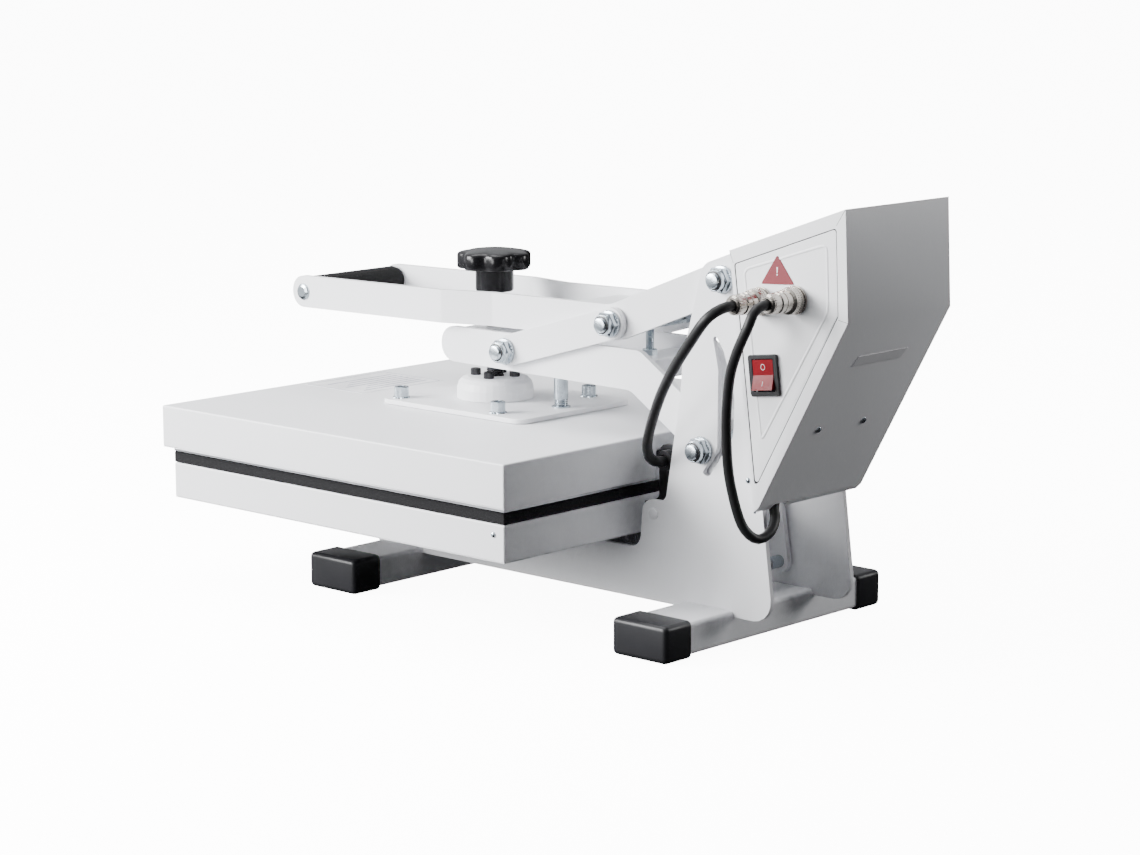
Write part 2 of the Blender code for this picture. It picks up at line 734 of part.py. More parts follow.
def stop_bracket():
    """A bracket between the arm plates with the screw that stops the lever past centre."""
    made = block("stop_bracket", (-CROSS_HALF, STOP_Y - 0.012, above(0.0880)),
                 (CROSS_HALF, STOP_Y + 0.022, above(0.0920)))
    adopt(made, "arm", WHITE)
    lip = block("stop_lip", (-CROSS_HALF, STOP_Y + 0.018, above(0.0760)),
                (CROSS_HALF, STOP_Y + 0.022, above(0.0920)))
    screw = rod("stop_screw", (0, STOP_Y, above(0.0840)), (0, STOP_Y, above(STOP_TOP)), STOP_R, 12)
    return join(made, lip, screw)


def arm_fittings():
    centre = pivot(ARM_PIVOT)
    sleeve = turned(
        "arm_pivot_sleeve",
        [(BOLT_R + RUN, CROSS_HALF), (0.0105, CROSS_HALF), (0.0105, -CROSS_HALF), (BOLT_R + RUN, -CROSS_HALF)],
        centre, (1, 0, 0),
    )
    adopt(sleeve, "arm", ZINC)
    through_bolt("link_foot_bolt", LINK_FOOT, BASE_HALF + GAP, "arm")
    pin = rod("tail_pin", pivot(TAIL_PIN, -CROSS_HALF), pivot(TAIL_PIN, CROSS_HALF), STUD_R)
    adopt(pin, "arm", ZINC)


# ---------------------------------------------------------------- links
def links():
    foot, top = Vector(LINK_FOOT), Vector(LINK_TOP)
    along = (top - foot).normalized()
    across = Vector((-along.y, along.x))
    corners = []
    for point, away in ((foot, -along), (top, along)):
        order = (1, -1) if point is foot else (-1, 1)
        for turn in order:
            corner = point + away * LINK_R + across * LINK_R * turn
            corners.append((corner.x, corner.y, LINK_R * 0.97))
    outline = shift(rounded(corners, 7), HEAD_Z)
    holes = [circle((p.x, above(p.y)), BOLT_R + RUN) for p in (foot, top)]
    for side, sign in sides():
        low, high = span(sign, BASE_HALF - LINK_T, BASE_HALF)
        adopt(side_plate(f"link_{side}", outline, low, high, holes), "link", WHITE)
        link_stud(side, sign)


def link_stud(side, sign):
    """The link's half of the joint with the lever: a short bolt through the link, and its nut."""
    centre = pivot(LINK_TOP)
    face = BASE_HALF + GAP
    washer, hexagon, reach = nut(f"link_stud_{side}_nut", LINK_TOP, sign, face)
    inner = Vector((sign * (BASE_HALF - LINK_T + GAP), 0, 0))
    stud = rod(f"link_stud_{side}", centre + inner, centre + Vector((sign * reach, 0, 0)), BOLT_R)
    adopt(stud, "link", ZINC)
    return join(stud, washer, hexagon)


# ---------------------------------------------------------------- lever and handle
JOG_REAR = SCREW_Y + 0.0410
JOG_FRONT = SCREW_Y - 0.0060


def lever_side_view():
    """Silhouette of lever and handle: pivot end, bend at the link pin, round handle end."""
    low = Vector(LINK_TOP)
    rise = (Vector(LEVER_PIVOT) - low).normalized()
    across = Vector((-rise.y, rise.x)) * LEVER_R
    tip = Vector(LEVER_PIVOT) + rise * LEVER_R
    end_y = GRIP_Y - HANDLE_H / 2
    half = HANDLE_H / 2
    top_bend = low + across
    foot_bend = low - across * 0.95
    corners = [
        (end_y, GRIP_HEIGHT - half, half * 0.97),
        (end_y, GRIP_HEIGHT + half, half * 0.97),
        (top_bend.x, top_bend.y, 0.030),
        (tip.x + across.x, tip.y + across.y, LEVER_R * 0.97),
        (tip.x - across.x, tip.y - across.y, LEVER_R * 0.97),
        (foot_bend.x, foot_bend.y, 0.020),
    ]
    return shift(rounded(corners, 6), HEAD_Z)


def lever_top_view(sign):
    """Strip of flat bar that steps out from the lever layer to the handle's width."""
    outer_rear, outer_front = INNER_OUT, HANDLE_HALF
    rear, front = LEVER_PIVOT[0] + 0.05, GRIP_Y - 0.05
    bend = 0.012
    corners = [
        (outer_rear, rear), (outer_rear, JOG_REAR, bend), (outer_front, JOG_FRONT, bend),
        (outer_front, front), (outer_front - ARM_T, front), (outer_front - ARM_T, JOG_FRONT, bend),
        (outer_rear - ARM_T, JOG_REAR, bend), (outer_rear - ARM_T, rear),
    ]
    return [(sign * p[0], p[1]) for p in rounded(corners, 4)]


def handle_bars():
    grip = (GRIP_Y, above(GRIP_HEIGHT))
    for side, sign in sides():
        bar = flat_plate(f"lever_bar_{side}", lever_top_view(sign), above(0.05), above(0.25))
        adopt(bar, "lever", WHITE)
        reach = HANDLE_HALF + 0.05
        combine(bar, side_plate(f"lever_view_{side}", lever_side_view(), -reach, reach), "INTERSECT")
        hinge = (LEVER_PIVOT[0], above(LEVER_PIVOT[1]))
        for name, place, radius in (("hinge", hinge, BOLT_R + RUN), ("grip", grip, GRIP_ROD_R + RUN)):
            cut(bar, rod(f"{name}_hole_{side}", (-reach, *place), (reach, *place), radius))


def lever_fittings():
    web = block("lever_web", (-CROSS_HALF, -0.0950, above(0.1262)),
                (CROSS_HALF, -0.0400, above(0.1302)))
    adopt(web, "lever", WHITE)
    sleeve_r = LINK_TOP[1] - STOP_TOP - 2 * GAP
    bore = BOLT_R + RUN
    tube = turned(
        "lever_tube",
        [(bore, CROSS_HALF), (sleeve_r, CROSS_HALF), (sleeve_r, -CROSS_HALF), (bore, -CROSS_HALF)],
        pivot(LINK_TOP), (1, 0, 0),
    )
    adopt(tube, "lever", ZINC)
    half = HANDLE_HALF - ARM_T - GAP
    bore = GRIP_ROD_R + GAP
    grip = turned(
        "foam_grip",
        [(bore, half), (GRIP_R * 0.88, half), (GRIP_R, half - 0.004), (GRIP_R, -half + 0.004),
         (GRIP_R * 0.88, -half), (bore, -half)],
        (0, GRIP_Y, above(GRIP_HEIGHT)), (1, 0, 0),
    )
    adopt(grip, "lever", FOAM)
    face = HANDLE_HALF + GAP
    head = 0.0023
    rod_shape = turned(
        "grip_rod",
        [(0, face + head), (0.0042, face + head), (0.0062, face + head * 0.6), (0.0068, face),
         (GRIP_ROD_R, face), (GRIP_ROD_R, -face), (0.0068, -face), (0.0062, -face - head * 0.6),
         (0.0042, -face - head), (0, -face - head)],
        (0, GRIP_Y, above(GRIP_HEIGHT)), (1, 0, 0),
    )
    adopt(rod_shape, "lever", ZINC)


# ---------------------------------------------------------------- heating head
def heating_head():
    half = COVER / 2
    low, high = HEAD_Z, HEAD_Z + COVER_H
    cover = block("head_cover", (-half, -COVER, low), (half, 0, high))
    adopt(cover, "head", WHITE)
    hollow = block("cover_hollow", (-half + SHEET, -COVER + SHEET, low - 0.01),
                   (half - SHEET, -SHEET, high - SHEET))
    notch = block("cover_notch", (-0.024, -0.02, low - 0.01), (0.024, 0.02, low + 0.022))
    cut(cover, hollow, notch)
    rear, side = -TRAY_INSET, PLATEN / 2
    heater = block("heating_platen", (-side, rear - PLATEN, HEAD_Z - HEATER_SHOWS),
                   (side, rear, HEAD_Z + HEATER_TOP))
    adopt(heater, "head", ALUMINIUM)
    for i, (across, along) in enumerate(((-1, -1), (1, -1), (1, 1), (-1, 1))):
        foot = Vector((across * PLATEN / 3, -COVER / 2 + along * PLATEN / 3, HEAD_Z + HEATER_TOP / 2))
        top = Vector((foot.x, foot.y, high - SHEET - GAP))
        join(heater, rod(f"stand_off_{i + 1}", foot, top, 0.0080, 16))


def mount_plate():
    front = SCREW_Y - MOUNT_FORWARD
    centre = (0, front + MOUNT_SIZE[1] / 2)
    outline = rounded(rectangle(centre, MOUNT_SIZE, 0, 0.012))
    plate = flat_plate("mount_plate", outline, MOUNT_Z, MOUNT_Z + MOUNT_T)
    adopt(plate, "head", WHITE)
    top = MOUNT_Z + MOUNT_T + GAP
    bore = SPINDLE_R + RUN
    hub = turned(
        "screw_hub",
        [(bore, HUB_H), (HUB_R * 0.72, HUB_H), (HUB_R * 0.86, HUB_H * 0.93), (HUB_R * 0.95, HUB_H * 0.76),
         (HUB_R, HUB_H * 0.45), (HUB_R, 0), (bore, 0)],
        (0, SCREW_Y, top), (0, 0, 1), 36,
    )
    adopt(hub, "head", WHITE)
    foot = 0.0062
    stud = turned(
        "guide_stud",
        [(0, STUD_H), (STUD_R * 0.8, STUD_H), (STUD_R, STUD_H - 0.001), (STUD_R, foot),
         (STUD_R * 1.35, foot), (STUD_R * 1.35, 0), (0, 0)],
        (0, SCREW_Y + STUD_BEHIND, top), (0, 0, 1),
    )
    adopt(stud, "head", ZINC)


def knob():
    """Lobed hand knob and its spindle, which turn together."""
    count = 12 * KNOB_LOBES
    rim = KNOB_R - KNOB_LOBE
    outline = []
    for k in range(count):
        angle = 2 * math.pi * k / count
        wave = math.cos(KNOB_LOBES * angle)
        radius = rim + KNOB_LOBE * (wave if wave > 0 else wave * 1.3)
        outline.append((radius * math.cos(angle), SCREW_Y + radius * math.sin(angle)))
    top = above(KNOB_TOP)
    disc = flat_plate("pressure_knob", outline, top - KNOB_H, top)
    adopt(disc, "knob", BAKELITE)
    foot = top - KNOB_H - STEM_H
    stem = turned(
        "knob_stem",
        [(0, STEM_H + 0.004), (STEM_R, STEM_H + 0.004), (STEM_R, 0.0015), (STEM_R - 0.0015, 0), (0, 0)],
        (0, SCREW_Y, foot), (0, 0, 1), 32,
    )
    join(disc, stem)
    bottom = MOUNT_Z + MOUNT_T + 2 * GAP
    spindle = rod("pressure_spindle", (0, SCREW_Y, bottom), (0, SCREW_Y, foot - GAP), SPINDLE_R, 28)
    adopt(spindle, "knob", BLACK_STEEL)


# ---------------------------------------------------------------- control box
def box_outline(distance=0.0):
    return shift(inset(BOX_CORNERS, [distance] * len(BOX_CORNERS)), HEAD_Z)


def rim_outline(share=1.0, inside=0.0):
    """The side opening at share 1, and the box's own faces at share 0."""
    foot, knee = Vector(BOX_CORNERS[3]), Vector(BOX_CORNERS[2])
    front, top = Vector(BOX_CORNERS[4]), Vector(BOX_CORNERS[0])
    slope, wall = foot - knee, top - front
    tip = knee + slope * ((front - knee).cross(wall) / slope.cross(wall))
    corners = inset([*BOX_CORNERS[:3], tuple(tip)], [share * margin + inside for margin in RIM])
    return shift(rounded([(*corner, 0.002) for corner in corners], 3), HEAD_Z)


TOP_FRONT, TOP_REAR = Vector(BOX_CORNERS[0]), Vector(BOX_CORNERS[1])
TOP_TILT = math.atan2(TOP_REAR.y - TOP_FRONT.y, TOP_REAR.x - TOP_FRONT.x)
TOP_NORMAL = Vector((0, -math.sin(TOP_TILT), math.cos(TOP_TILT)))


def on_top(x, share, rise):
    """A design point over the sloping control face, at a share of the way to its rear edge."""
    place = TOP_FRONT.lerp(TOP_REAR, share)
    return Vector((x, place.x, above(place.y))) + TOP_NORMAL * rise


DISPLAY_AT = 0.66
BUTTONS_AT = 0.28
BUTTON_X = (-0.022, 0.0, 0.022)
NOTCH_X = (0.0270, 0.0430)


def box_shell():
    shell = side_plate("box_shell", box_outline(), -BOX_HALF, BOX_HALF)
    adopt(shell, "base", WHITE)
    inside = BOX_HALF - SHEET
    cut(shell, side_plate("box_hollow", box_outline(SHEET), -inside, inside))
    past = BOX_HALF + 0.01
    cut(shell, side_plate("box_side_openings", rim_outline(), -past, past))
    size = [s + 2 * GAP for s in DISPLAY_SIZE]
    cut(shell, tilted_plate("display_hole", size, on_top(0, DISPLAY_AT, 0), 0.01, TOP_TILT, 0.001))
    for i, x in enumerate(BUTTON_X):
        hole = rod(f"button_hole_{i + 1}", on_top(x, BUTTONS_AT, -0.01), on_top(x, BUTTONS_AT, 0.01),
                   BUTTON_R + RUN)
        cut(shell, hole)
    notch = block("cable_notch", (NOTCH_X[0], 0.1100, above(-0.0200)),
                  (NOTCH_X[1], 0.1340, above(0.0160)))
    return cut(shell, notch)


def panel_hole(name, centre, size, tilt=0.0, radius=0.0):
    outline = rounded(rectangle((centre[0], above(centre[1])), size, tilt, radius), 2)
    return side_plate(name, outline, -BOX_HALF - 0.01, BOX_HALF + 0.01)


def panel_bore(name, centre, radius):
    return rod(name, pivot(centre, -BOX_HALF - 0.01), pivot(centre, BOX_HALF + 0.01), radius)


SWITCH_BODY = tuple(s - 0.0030 for s in SWITCH_SIZE)
INLET = (0.1400, 0.1000)
INLET_SIZE = (0.0310, 0.0500)
INLET_BODY = (0.0270, 0.0340)


def side_panel(side, sign):
    """A panel behind the box's rim, with a raised field that fills the opening."""
    back, front = BOX_HALF - SHEET - GAP - PANEL_T, BOX_HALF - SHEET - GAP
    low, high = span(sign, back, front)
    made = side_plate(f"side_panel_{side}", rim_outline(0.5, 0.0005), low, high)
    adopt(made, "base", WHITE)
    low, high = span(sign, (back + front) / 2, FIELD_X)
    return join(made, side_plate(f"panel_field_{side}", rim_outline(1.0, 2 * GAP), low, high))


def side_panels():
    right = side_panel("right", 1)
    hole = [s + 2 * GAP for s in SWITCH_BODY]
    cut(right, panel_hole("switch_hole", SWITCH, hole, SWITCH_TILT))
    for i, centre in enumerate(SOCKETS):
        cut(right, panel_bore(f"socket_hole_{i + 1}", centre, SOCKET_R + GAP))
    left = side_panel("left", -1)
    hole = [s + 2 * GAP for s in INLET_BODY]
    cut(left, panel_hole("inlet_hole", INLET, hole, SWITCH_TILT))


ROCKER_PIVOT_X = BOX_HALF + 0.0005
ROCKER_REST = math.radians(10)


def power_switch():
    """Black bezel and body of the mains switch, and its red rocker on a hinge along Y."""
    face = FIELD_X + GAP
    centre = (SWITCH[0], above(SWITCH[1]))
    rim = side_plate("switch_body", rounded(rectangle(centre, SWITCH_SIZE, SWITCH_TILT, 0.0015), 2),
                     face, face + 0.0022)
    adopt(rim, "base", BLACK)
    body = side_plate("switch_case", rounded(rectangle(centre, SWITCH_BODY, SWITCH_TILT)),
                      face - 0.0220, face + 0.0010)
    join(rim, body)
    pocket_size = (ROCKER_SIZE[0] + 0.0008, ROCKER_SIZE[1] + 0.0016)
    pocket = side_plate("switch_pocket", rounded(rectangle(centre, pocket_size, SWITCH_TILT)),
                        face - 0.0110, face + 0.0200)
    cut(rim, pocket)
    add_frame("rocker", (ROCKER_PIVOT_X, SWITCH[0], above(SWITCH[1])))
    half = ROCKER_SIZE[1] / 2
    low_half = half * 0.78
    profile = [(0.0034, half), (0.0015, 0.0), (0.0034, -half), (-0.0068, -low_half), (-0.0068, low_half)]
    c, s = math.cos(ROCKER_REST), math.sin(ROCKER_REST)
    outline = [(c * x - s * h, s * x + c * h) for x, h in profile]
    width = ROCKER_SIZE[0] / 2
    turn = (math.pi / 2, 0, 0)
    rocker = extruded("rocker", [outline], -width, width, turn, (0, 0, 0))
    rocker.rotation_euler = (math.pi / 2 + SWITCH_TILT, 0, 0)
    rocker.location = FRAMES["rocker"]
    adopt(rocker, "rocker", RED)


def power_inlet():
    """Mains inlet on the left panel: a flanged body with three contact slots in its recess."""
    centre = (INLET[0], above(INLET[1]))
    face = FIELD_X + GAP
    made = side_plate("power_inlet", rounded(rectangle(centre, INLET_SIZE, SWITCH_TILT, 0.003), 3),
                      -face - 0.0025, -face)
    adopt(made, "base", BLACK)
    body = side_plate("inlet_body", rounded(rectangle(centre, INLET_BODY, SWITCH_TILT)),
                      -face - 0.0010, -face + 0.0240)
    join(made, body)
    pocket = side_plate("inlet_pocket", rounded(rectangle(centre, (0.0170, 0.0240), SWITCH_TILT, 0.003), 3),
                        -face - 0.0100, -face + 0.0160)
    return cut(made, pocket)


def connectors():
    """Two round panel sockets, and the cable plugs screwed onto them."""
    face = FIELD_X + GAP
    for i, place in enumerate(SOCKETS):
        socket = turned(
            f"cable_socket_{i + 1}",
            [(0, 0.0022), (RING_R, 0.0022), (RING_R, 0.0), (SOCKET_R, 0.0), (SOCKET_R, -0.0140), (0, -0.0140)],
            pivot(place, face), (1, 0, 0),
        )
        adopt(socket, "base", NICKEL)
        start = 0.0022 + GAP
        end = PLUG_END - face
        plug = turned(
            f"cable_plug_{i + 1}",
            [(0, end - 0.0140), (CABLE_BORE, end - 0.0140), (CABLE_BORE, end), (0.0060, end),
             (0.0072, end - 0.0015), (0.0072, end - 0.0095),
             (0.0080, end - 0.0105), (0.0080, start + 0.0090), (RING_R, start + 0.0080),
             (RING_R, start), (0, start)],
            pivot(place, face), (1, 0, 0),
        )
        adopt(plug, "base", NICKEL)


def control_panel():
    """Display window and the three sprung keys of the temperature and time controller."""
    window = tilted_plate("display_window", DISPLAY_SIZE, on_top(0, DISPLAY_AT, -0.0010), 0.0035,
                          TOP_TILT, 0.001)
    adopt(window, "base", GLASS)
    for i, x in enumerate(BUTTON_X):
        foot = on_top(x, BUTTONS_AT, -SHEET - 0.0020)
        add_frame(f"key_{i + 1}", foot)
        key = turned(
            f"key_{i + 1}",
            [(0, SHEET + 0.0020 + BUTTON_STANDS), (BUTTON_R - 0.0008, SHEET + 0.0020 + BUTTON_STANDS),
             (BUTTON_R, SHEET + 0.0012 + BUTTON_STANDS), (BUTTON_R, 0.0012), (BUTTON_R + 0.0014, 0.0012),
             (BUTTON_R + 0.0014, 0), (0, 0)],
            foot, TOP_NORMAL, 20,
        )
        adopt(key, f"key_{i + 1}", BLACK)


def electronics():
    """Controller board under the control face, and the terminal block at the foot of the box."""
    board = tilted_plate("control_board", (0.0960, 0.0820), on_top(0, 0.52, -0.0120), 0.0016, TOP_TILT)
    adopt(board, "base", BOARD)
    relay = tilted_plate("relay", (0.0300, 0.0200), on_top(-0.025, 0.62, -0.0200), 0.0160, TOP_TILT)
    transformer = tilted_plate("transformer", (0.0280, 0.0320), on_top(0.020, 0.40, -0.0230), 0.0220,
                               TOP_TILT)
    join(board, relay, transformer)
    end = Vector(CABLE_2[-1])
    terminal = block("terminal_block", (end.x - 0.030, end.y - 0.0040, above(end.z) + 0.0020),
                     (end.x + 0.0100, end.y + 0.0090, above(end.z) + 0.0160))
    adopt(terminal, "base", BLACK)


def build():
    feet()
    base_plates()
    rear_brace()
    platen_support()
    lower_platen()
    springs()
    base_bolts()
    cable_bracket()
    arm_plates()
    arm_crosshead()
    stop_bracket()
    arm_fittings()
    links()
    handle_bars()
    lever_fittings()
    heating_head()
    mount_plate()
    knob()
    box_shell()
    side_panels()
    power_switch()
    power_inlet()
    connectors()
    control_panel()
    electronics()
    cable("heater_cable", CABLE_1, CABLE_R, "base")
    cable("sensor_cable", CABLE_2, CABLE_2_R, "base")


build()
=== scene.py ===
"""Looks of the clamshell heat press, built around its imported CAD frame.

Places are given as (X, Y, height) from the head cover: Y = 0 is its rear face and height 0 its lower
edge, as in the part's own script. at() turns them into the row frame.
"""

import json
import math

import bmesh
import bpy
from mathutils import Matrix, Vector


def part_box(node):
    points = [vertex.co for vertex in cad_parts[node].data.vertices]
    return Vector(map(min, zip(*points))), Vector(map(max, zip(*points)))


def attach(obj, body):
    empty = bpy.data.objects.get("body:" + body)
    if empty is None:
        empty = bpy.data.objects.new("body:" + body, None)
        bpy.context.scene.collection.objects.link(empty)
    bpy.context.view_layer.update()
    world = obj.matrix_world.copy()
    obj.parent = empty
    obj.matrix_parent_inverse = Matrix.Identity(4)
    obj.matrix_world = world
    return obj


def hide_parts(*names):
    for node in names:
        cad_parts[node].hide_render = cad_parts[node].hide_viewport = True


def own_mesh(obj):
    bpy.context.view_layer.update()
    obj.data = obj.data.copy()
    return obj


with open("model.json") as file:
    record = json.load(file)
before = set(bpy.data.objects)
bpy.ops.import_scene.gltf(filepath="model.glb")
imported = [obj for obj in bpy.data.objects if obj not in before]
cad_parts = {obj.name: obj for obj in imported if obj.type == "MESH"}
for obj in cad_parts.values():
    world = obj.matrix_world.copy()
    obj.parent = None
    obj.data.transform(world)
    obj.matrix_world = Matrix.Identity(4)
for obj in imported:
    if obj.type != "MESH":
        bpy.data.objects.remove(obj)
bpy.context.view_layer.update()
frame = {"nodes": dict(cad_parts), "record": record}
NODES = frame["nodes"]

COVER_LOW, COVER_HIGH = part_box("head_cover")
ORIGIN = Vector((0, COVER_HIGH.y, COVER_LOW.z))
COVER_H = COVER_HIGH.z - COVER_LOW.z


def at(x, y, height):
    return ORIGIN + Vector((x, y, height))


# ---------------------------------------------------------------- camera
LENS = 93.16
CAMERA_AT = (1.7387, 1.5764, 0.5576)
CAMERA_AZIMUTH = math.radians(132.649)
CAMERA_ELEVATION = math.radians(10.107)
CAMERA_ROLL = math.radians(-0.099)


def add_camera():
    data = bpy.data.cameras.new("camera")
    data.lens = LENS
    data.sensor_width = 36.0
    data.clip_end = 50.0
    camera = bpy.data.objects.new("camera", data)
    bpy.context.scene.collection.objects.link(camera)
    camera.location = CAMERA_AT
    turn = Matrix.Rotation(CAMERA_AZIMUTH, 4, "Z") @ Matrix.Rotation(math.pi / 2 - CAMERA_ELEVATION, 4, "X")
    camera.rotation_euler = (turn @ Matrix.Rotation(CAMERA_ROLL, 4, "Z")).to_euler()
    bpy.context.scene.camera = camera


add_camera()


# ---------------------------------------------------------------- materials
def set_stops(ramp, stops):
    """Gives a colour ramp its stops of (position, colour)."""
    while len(ramp.elements) < len(stops):
        ramp.elements.new(0.5)
    for element, (position, colour) in zip(ramp.elements, stops):
        element.position = position
        element.color = (*colour, 1)


class Shader:
    """A Principled material and the nodes that feed it."""

    def __init__(self, name, colour, roughness, metallic=0.0, **sockets):
        self.material = bpy.data.materials.new(name)
        self.material.use_nodes = True
        self.nodes = self.material.node_tree.nodes
        self.links = self.material.node_tree.links
        self.out = self.nodes["Principled BSDF"]
        self.out.inputs["Base Color"].default_value = (*colour, 1)
        self.out.inputs["Roughness"].default_value = roughness
        self.out.inputs["Metallic"].default_value = metallic
        for socket, value in sockets.items():
            self.out.inputs[socket.replace("_", " ")].default_value = value
        self.place = self.nodes.new("ShaderNodeTexCoord").outputs["Object"]

    def noise(self, scale, detail=3.0, roughness=0.55):
        made = self.nodes.new("ShaderNodeTexNoise")
        made.inputs["Scale"].default_value = scale
        made.inputs["Detail"].default_value = detail
        made.inputs["Roughness"].default_value = roughness
        self.links.new(self.place, made.inputs["Vector"])
        return made.outputs["Fac"]

    def cells(self, scale):
        made = self.nodes.new("ShaderNodeTexVoronoi")
        made.inputs["Scale"].default_value = scale
        self.links.new(self.place, made.inputs["Vector"])
        return made.outputs["Distance"]

    def tint(self, value, stops):
        """Base colour through a ramp."""
        made = self.nodes.new("ShaderNodeValToRGB")
        set_stops(made.color_ramp, stops)
        self.links.new(value, made.inputs["Fac"])
        self.links.new(made.outputs["Color"], self.out.inputs["Base Color"])

    def vary(self, value, low, high):
        """Roughness between two values."""
        made = self.nodes.new("ShaderNodeMapRange")
        made.inputs["To Min"].default_value = low
        made.inputs["To Max"].default_value = high
        self.links.new(value, made.inputs["Value"])
        self.links.new(made.outputs["Result"], self.out.inputs["Roughness"])

    def bump(self, value, depth, strength):
        made = self.nodes.new("ShaderNodeBump")
        made.inputs["Strength"].default_value = strength
        made.inputs["Distance"].default_value = depth
        self.links.new(value, made.inputs["Height"])
        self.links.new(made.outputs["Normal"], self.out.inputs["Normal"])


def shades(colour, spread):
    """Two stops around a colour."""
    low = tuple(c * (1 - spread) for c in colour)
    high = tuple(min(1.0, c * (1 + spread)) for c in colour)
    return [(0.3, low), (0.7, high)]


def powder_coat(name, colour, roughness=0.42):
    made = Shader(name, colour, roughness, Specular_IOR_Level=0.45)
    made.tint(made.noise(9.0, 2.0), shades(colour, 0.012))
    fine = made.noise(1100.0, 2.0)
    made.vary(fine, roughness - 0.05, roughness + 0.07)
    made.bump(fine, 0.00006, 0.35)
    return made.material


def metal(name, colour, roughness, grain=900.0, depth=0.00004):
    made = Shader(name, colour, roughness, 1.0)
    fine = made.noise(grain, 4.0)
    made.tint(made.noise(60.0, 3.0), shades(colour, 0.10))
    made.vary(fine, roughness * 0.75, roughness * 1.35)
    made.bump(fine, depth, 0.4)
    return made.material


def plastic(name, colour, roughness, grain=1600.0, depth=0.00005, strength=0.35):
    made = Shader(name, colour, roughness, Specular_IOR_Level=0.28)
    fine = made.noise(grain, 2.0)
    made.tint(made.noise(40.0, 2.0), shades(colour, 0.12))
    made.vary(fine, roughness - 0.06, roughness + 0.08)
    made.bump(fine, depth, strength)
    return made.material


def silicone_sponge(name):
    made = Shader(name, (0.016, 0.016, 0.018), 0.9, Specular_IOR_Level=0.12)
    specks = made.noise(1500.0, 2.0, roughness=0.7)
    made.tint(specks, [(0.55, (0.012, 0.012, 0.013)), (0.74, (0.055, 0.055, 0.058))])
    made.bump(specks, 0.0003, 0.6)
    return made.material


def foam(name):
    made = Shader(name, (0.014, 0.014, 0.015), 0.92, Specular_IOR_Level=0.15)
    pores = made.cells(1400.0)
    made.tint(pores, [(0.0, (0.006, 0.006, 0.006)), (0.7, (0.022, 0.022, 0.023))])
    made.bump(pores, 0.0003, 0.5)
    return made.material


def deep_red(name):
    colour = (0.17, 0.003, 0.008)
    made = Shader(name, colour, 0.3, Specular_IOR_Level=0.12)
    made.tint(made.noise(120.0, 2.0), shades(colour, 0.15))
    made.vary(made.noise(300.0, 3.0), 0.26, 0.38)
    return made.material


def glowing(name):
    colour = (0.9, 0.05, 0.03)
    made = Shader(name, colour, 0.3, Emission_Strength=0.6)
    made.out.inputs["Emission Color"].default_value = (1.0, 0.08, 0.04, 1)
    made.tint(made.noise(200.0, 2.0), shades(colour, 0.2))
    return made.material


def circuit_board(name):
    made = Shader(name, (0.02, 0.15, 0.05), 0.4)
    made.tint(made.cells(220.0), [(0.15, (0.05, 0.22, 0.09)), (0.5, (0.01, 0.11, 0.04))])
    made.bump(made.noise(500.0), 0.0002, 0.4)
    return made.material


WHITE = powder_coat("white_powder_coat", (0.76, 0.765, 0.785))
# A darker copy of the white paint: painted shade, given to the hole plugs and the name plate.
SHADED_WHITE = powder_coat("white_powder_coat_shade", (0.70, 0.705, 0.725), 0.5)
ZINC = metal("zinc_plate", (0.45, 0.50, 0.54), 0.24)
STEEL = metal("spring_steel", (0.42, 0.43, 0.45), 0.32)
OXIDE = metal("black_oxide", (0.045, 0.045, 0.048), 0.38)
NICKEL = metal("nickel", (0.46, 0.43, 0.39), 0.20)
CAST = metal("cast_aluminium", (0.50, 0.51, 0.53), 0.42, grain=260.0, depth=0.00015)
BLACK = plastic("black_plastic", (0.012, 0.012, 0.014), 0.36)
BAKELITE = plastic("black_bakelite", (0.007, 0.007, 0.008), 0.20, 500.0, 0.00003, 0.15)
JACKET = plastic("cable_jacket", (0.014, 0.014, 0.015), 0.42, 900.0, 0.00006, 0.4)
SMOKED = plastic("smoked_window", (0.012, 0.006, 0.006), 0.09, 300.0, 0.00001, 0.1)
LABEL = plastic("label_white", (0.80, 0.80, 0.82), 0.35, 700.0, 0.00001, 0.1)
LABEL_INK = plastic("label_ink", (0.08, 0.09, 0.20), 0.40, 700.0, 0.00001, 0.1)
LABEL_RED = plastic("label_red", (0.17, 0.020, 0.028), 0.38, 700.0, 0.00001, 0.1)
SPONGE = silicone_sponge("silicone_sponge")
FOAM = foam("black_foam")
RED = deep_red("red_rocker")
BOARD = circuit_board("circuit_board")
GLOW = glowing("display_light")

# Material of every slot in the record.
FINISHES = {
    "white_powder_coat": WHITE,
    "black_plastic": BLACK,
    "black_bakelite": BAKELITE,
    "black_foam": FOAM,
    "silicone_sponge": SPONGE,
    "cable_rubber": JACKET,
    "zinc_plate": ZINC,
    "spring_steel": STEEL,
    "black_oxide_steel": OXIDE,
    "nickel": NICKEL,
    "cast_aluminium": CAST,
    "red_rocker": RED,
    "smoked_window": SMOKED,
    "circuit_board": BOARD,
}


# ---------------------------------------------------------------- mesh helpers
def link(name, mesh, body, material):
    made = bpy.data.objects.new(name, mesh)
    bpy.context.scene.collection.objects.link(made)
    mesh.materials.append(material)
    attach(made, body)
    return made


def from_bmesh(name, shape, body, material, smooth=35):
    """A piece made of a bmesh, shaded smooth below an angle in degrees."""
    mesh = bpy.data.meshes.new(name)
    bmesh.ops.recalc_face_normals(shape, faces=shape.faces)
    shape.to_mesh(mesh)
    shape.free()
    mesh.shade_smooth()
    mesh.set_sharp_from_angle(angle=math.radians(smooth))
    return link(name, mesh, body, material)


def frame_on(centre, axis):
    """A matrix whose Z lies along axis, at a centre."""
    return Matrix.Translation(centre) @ Vector(axis).to_track_quat("Z", "Y").to_matrix().to_4x4()


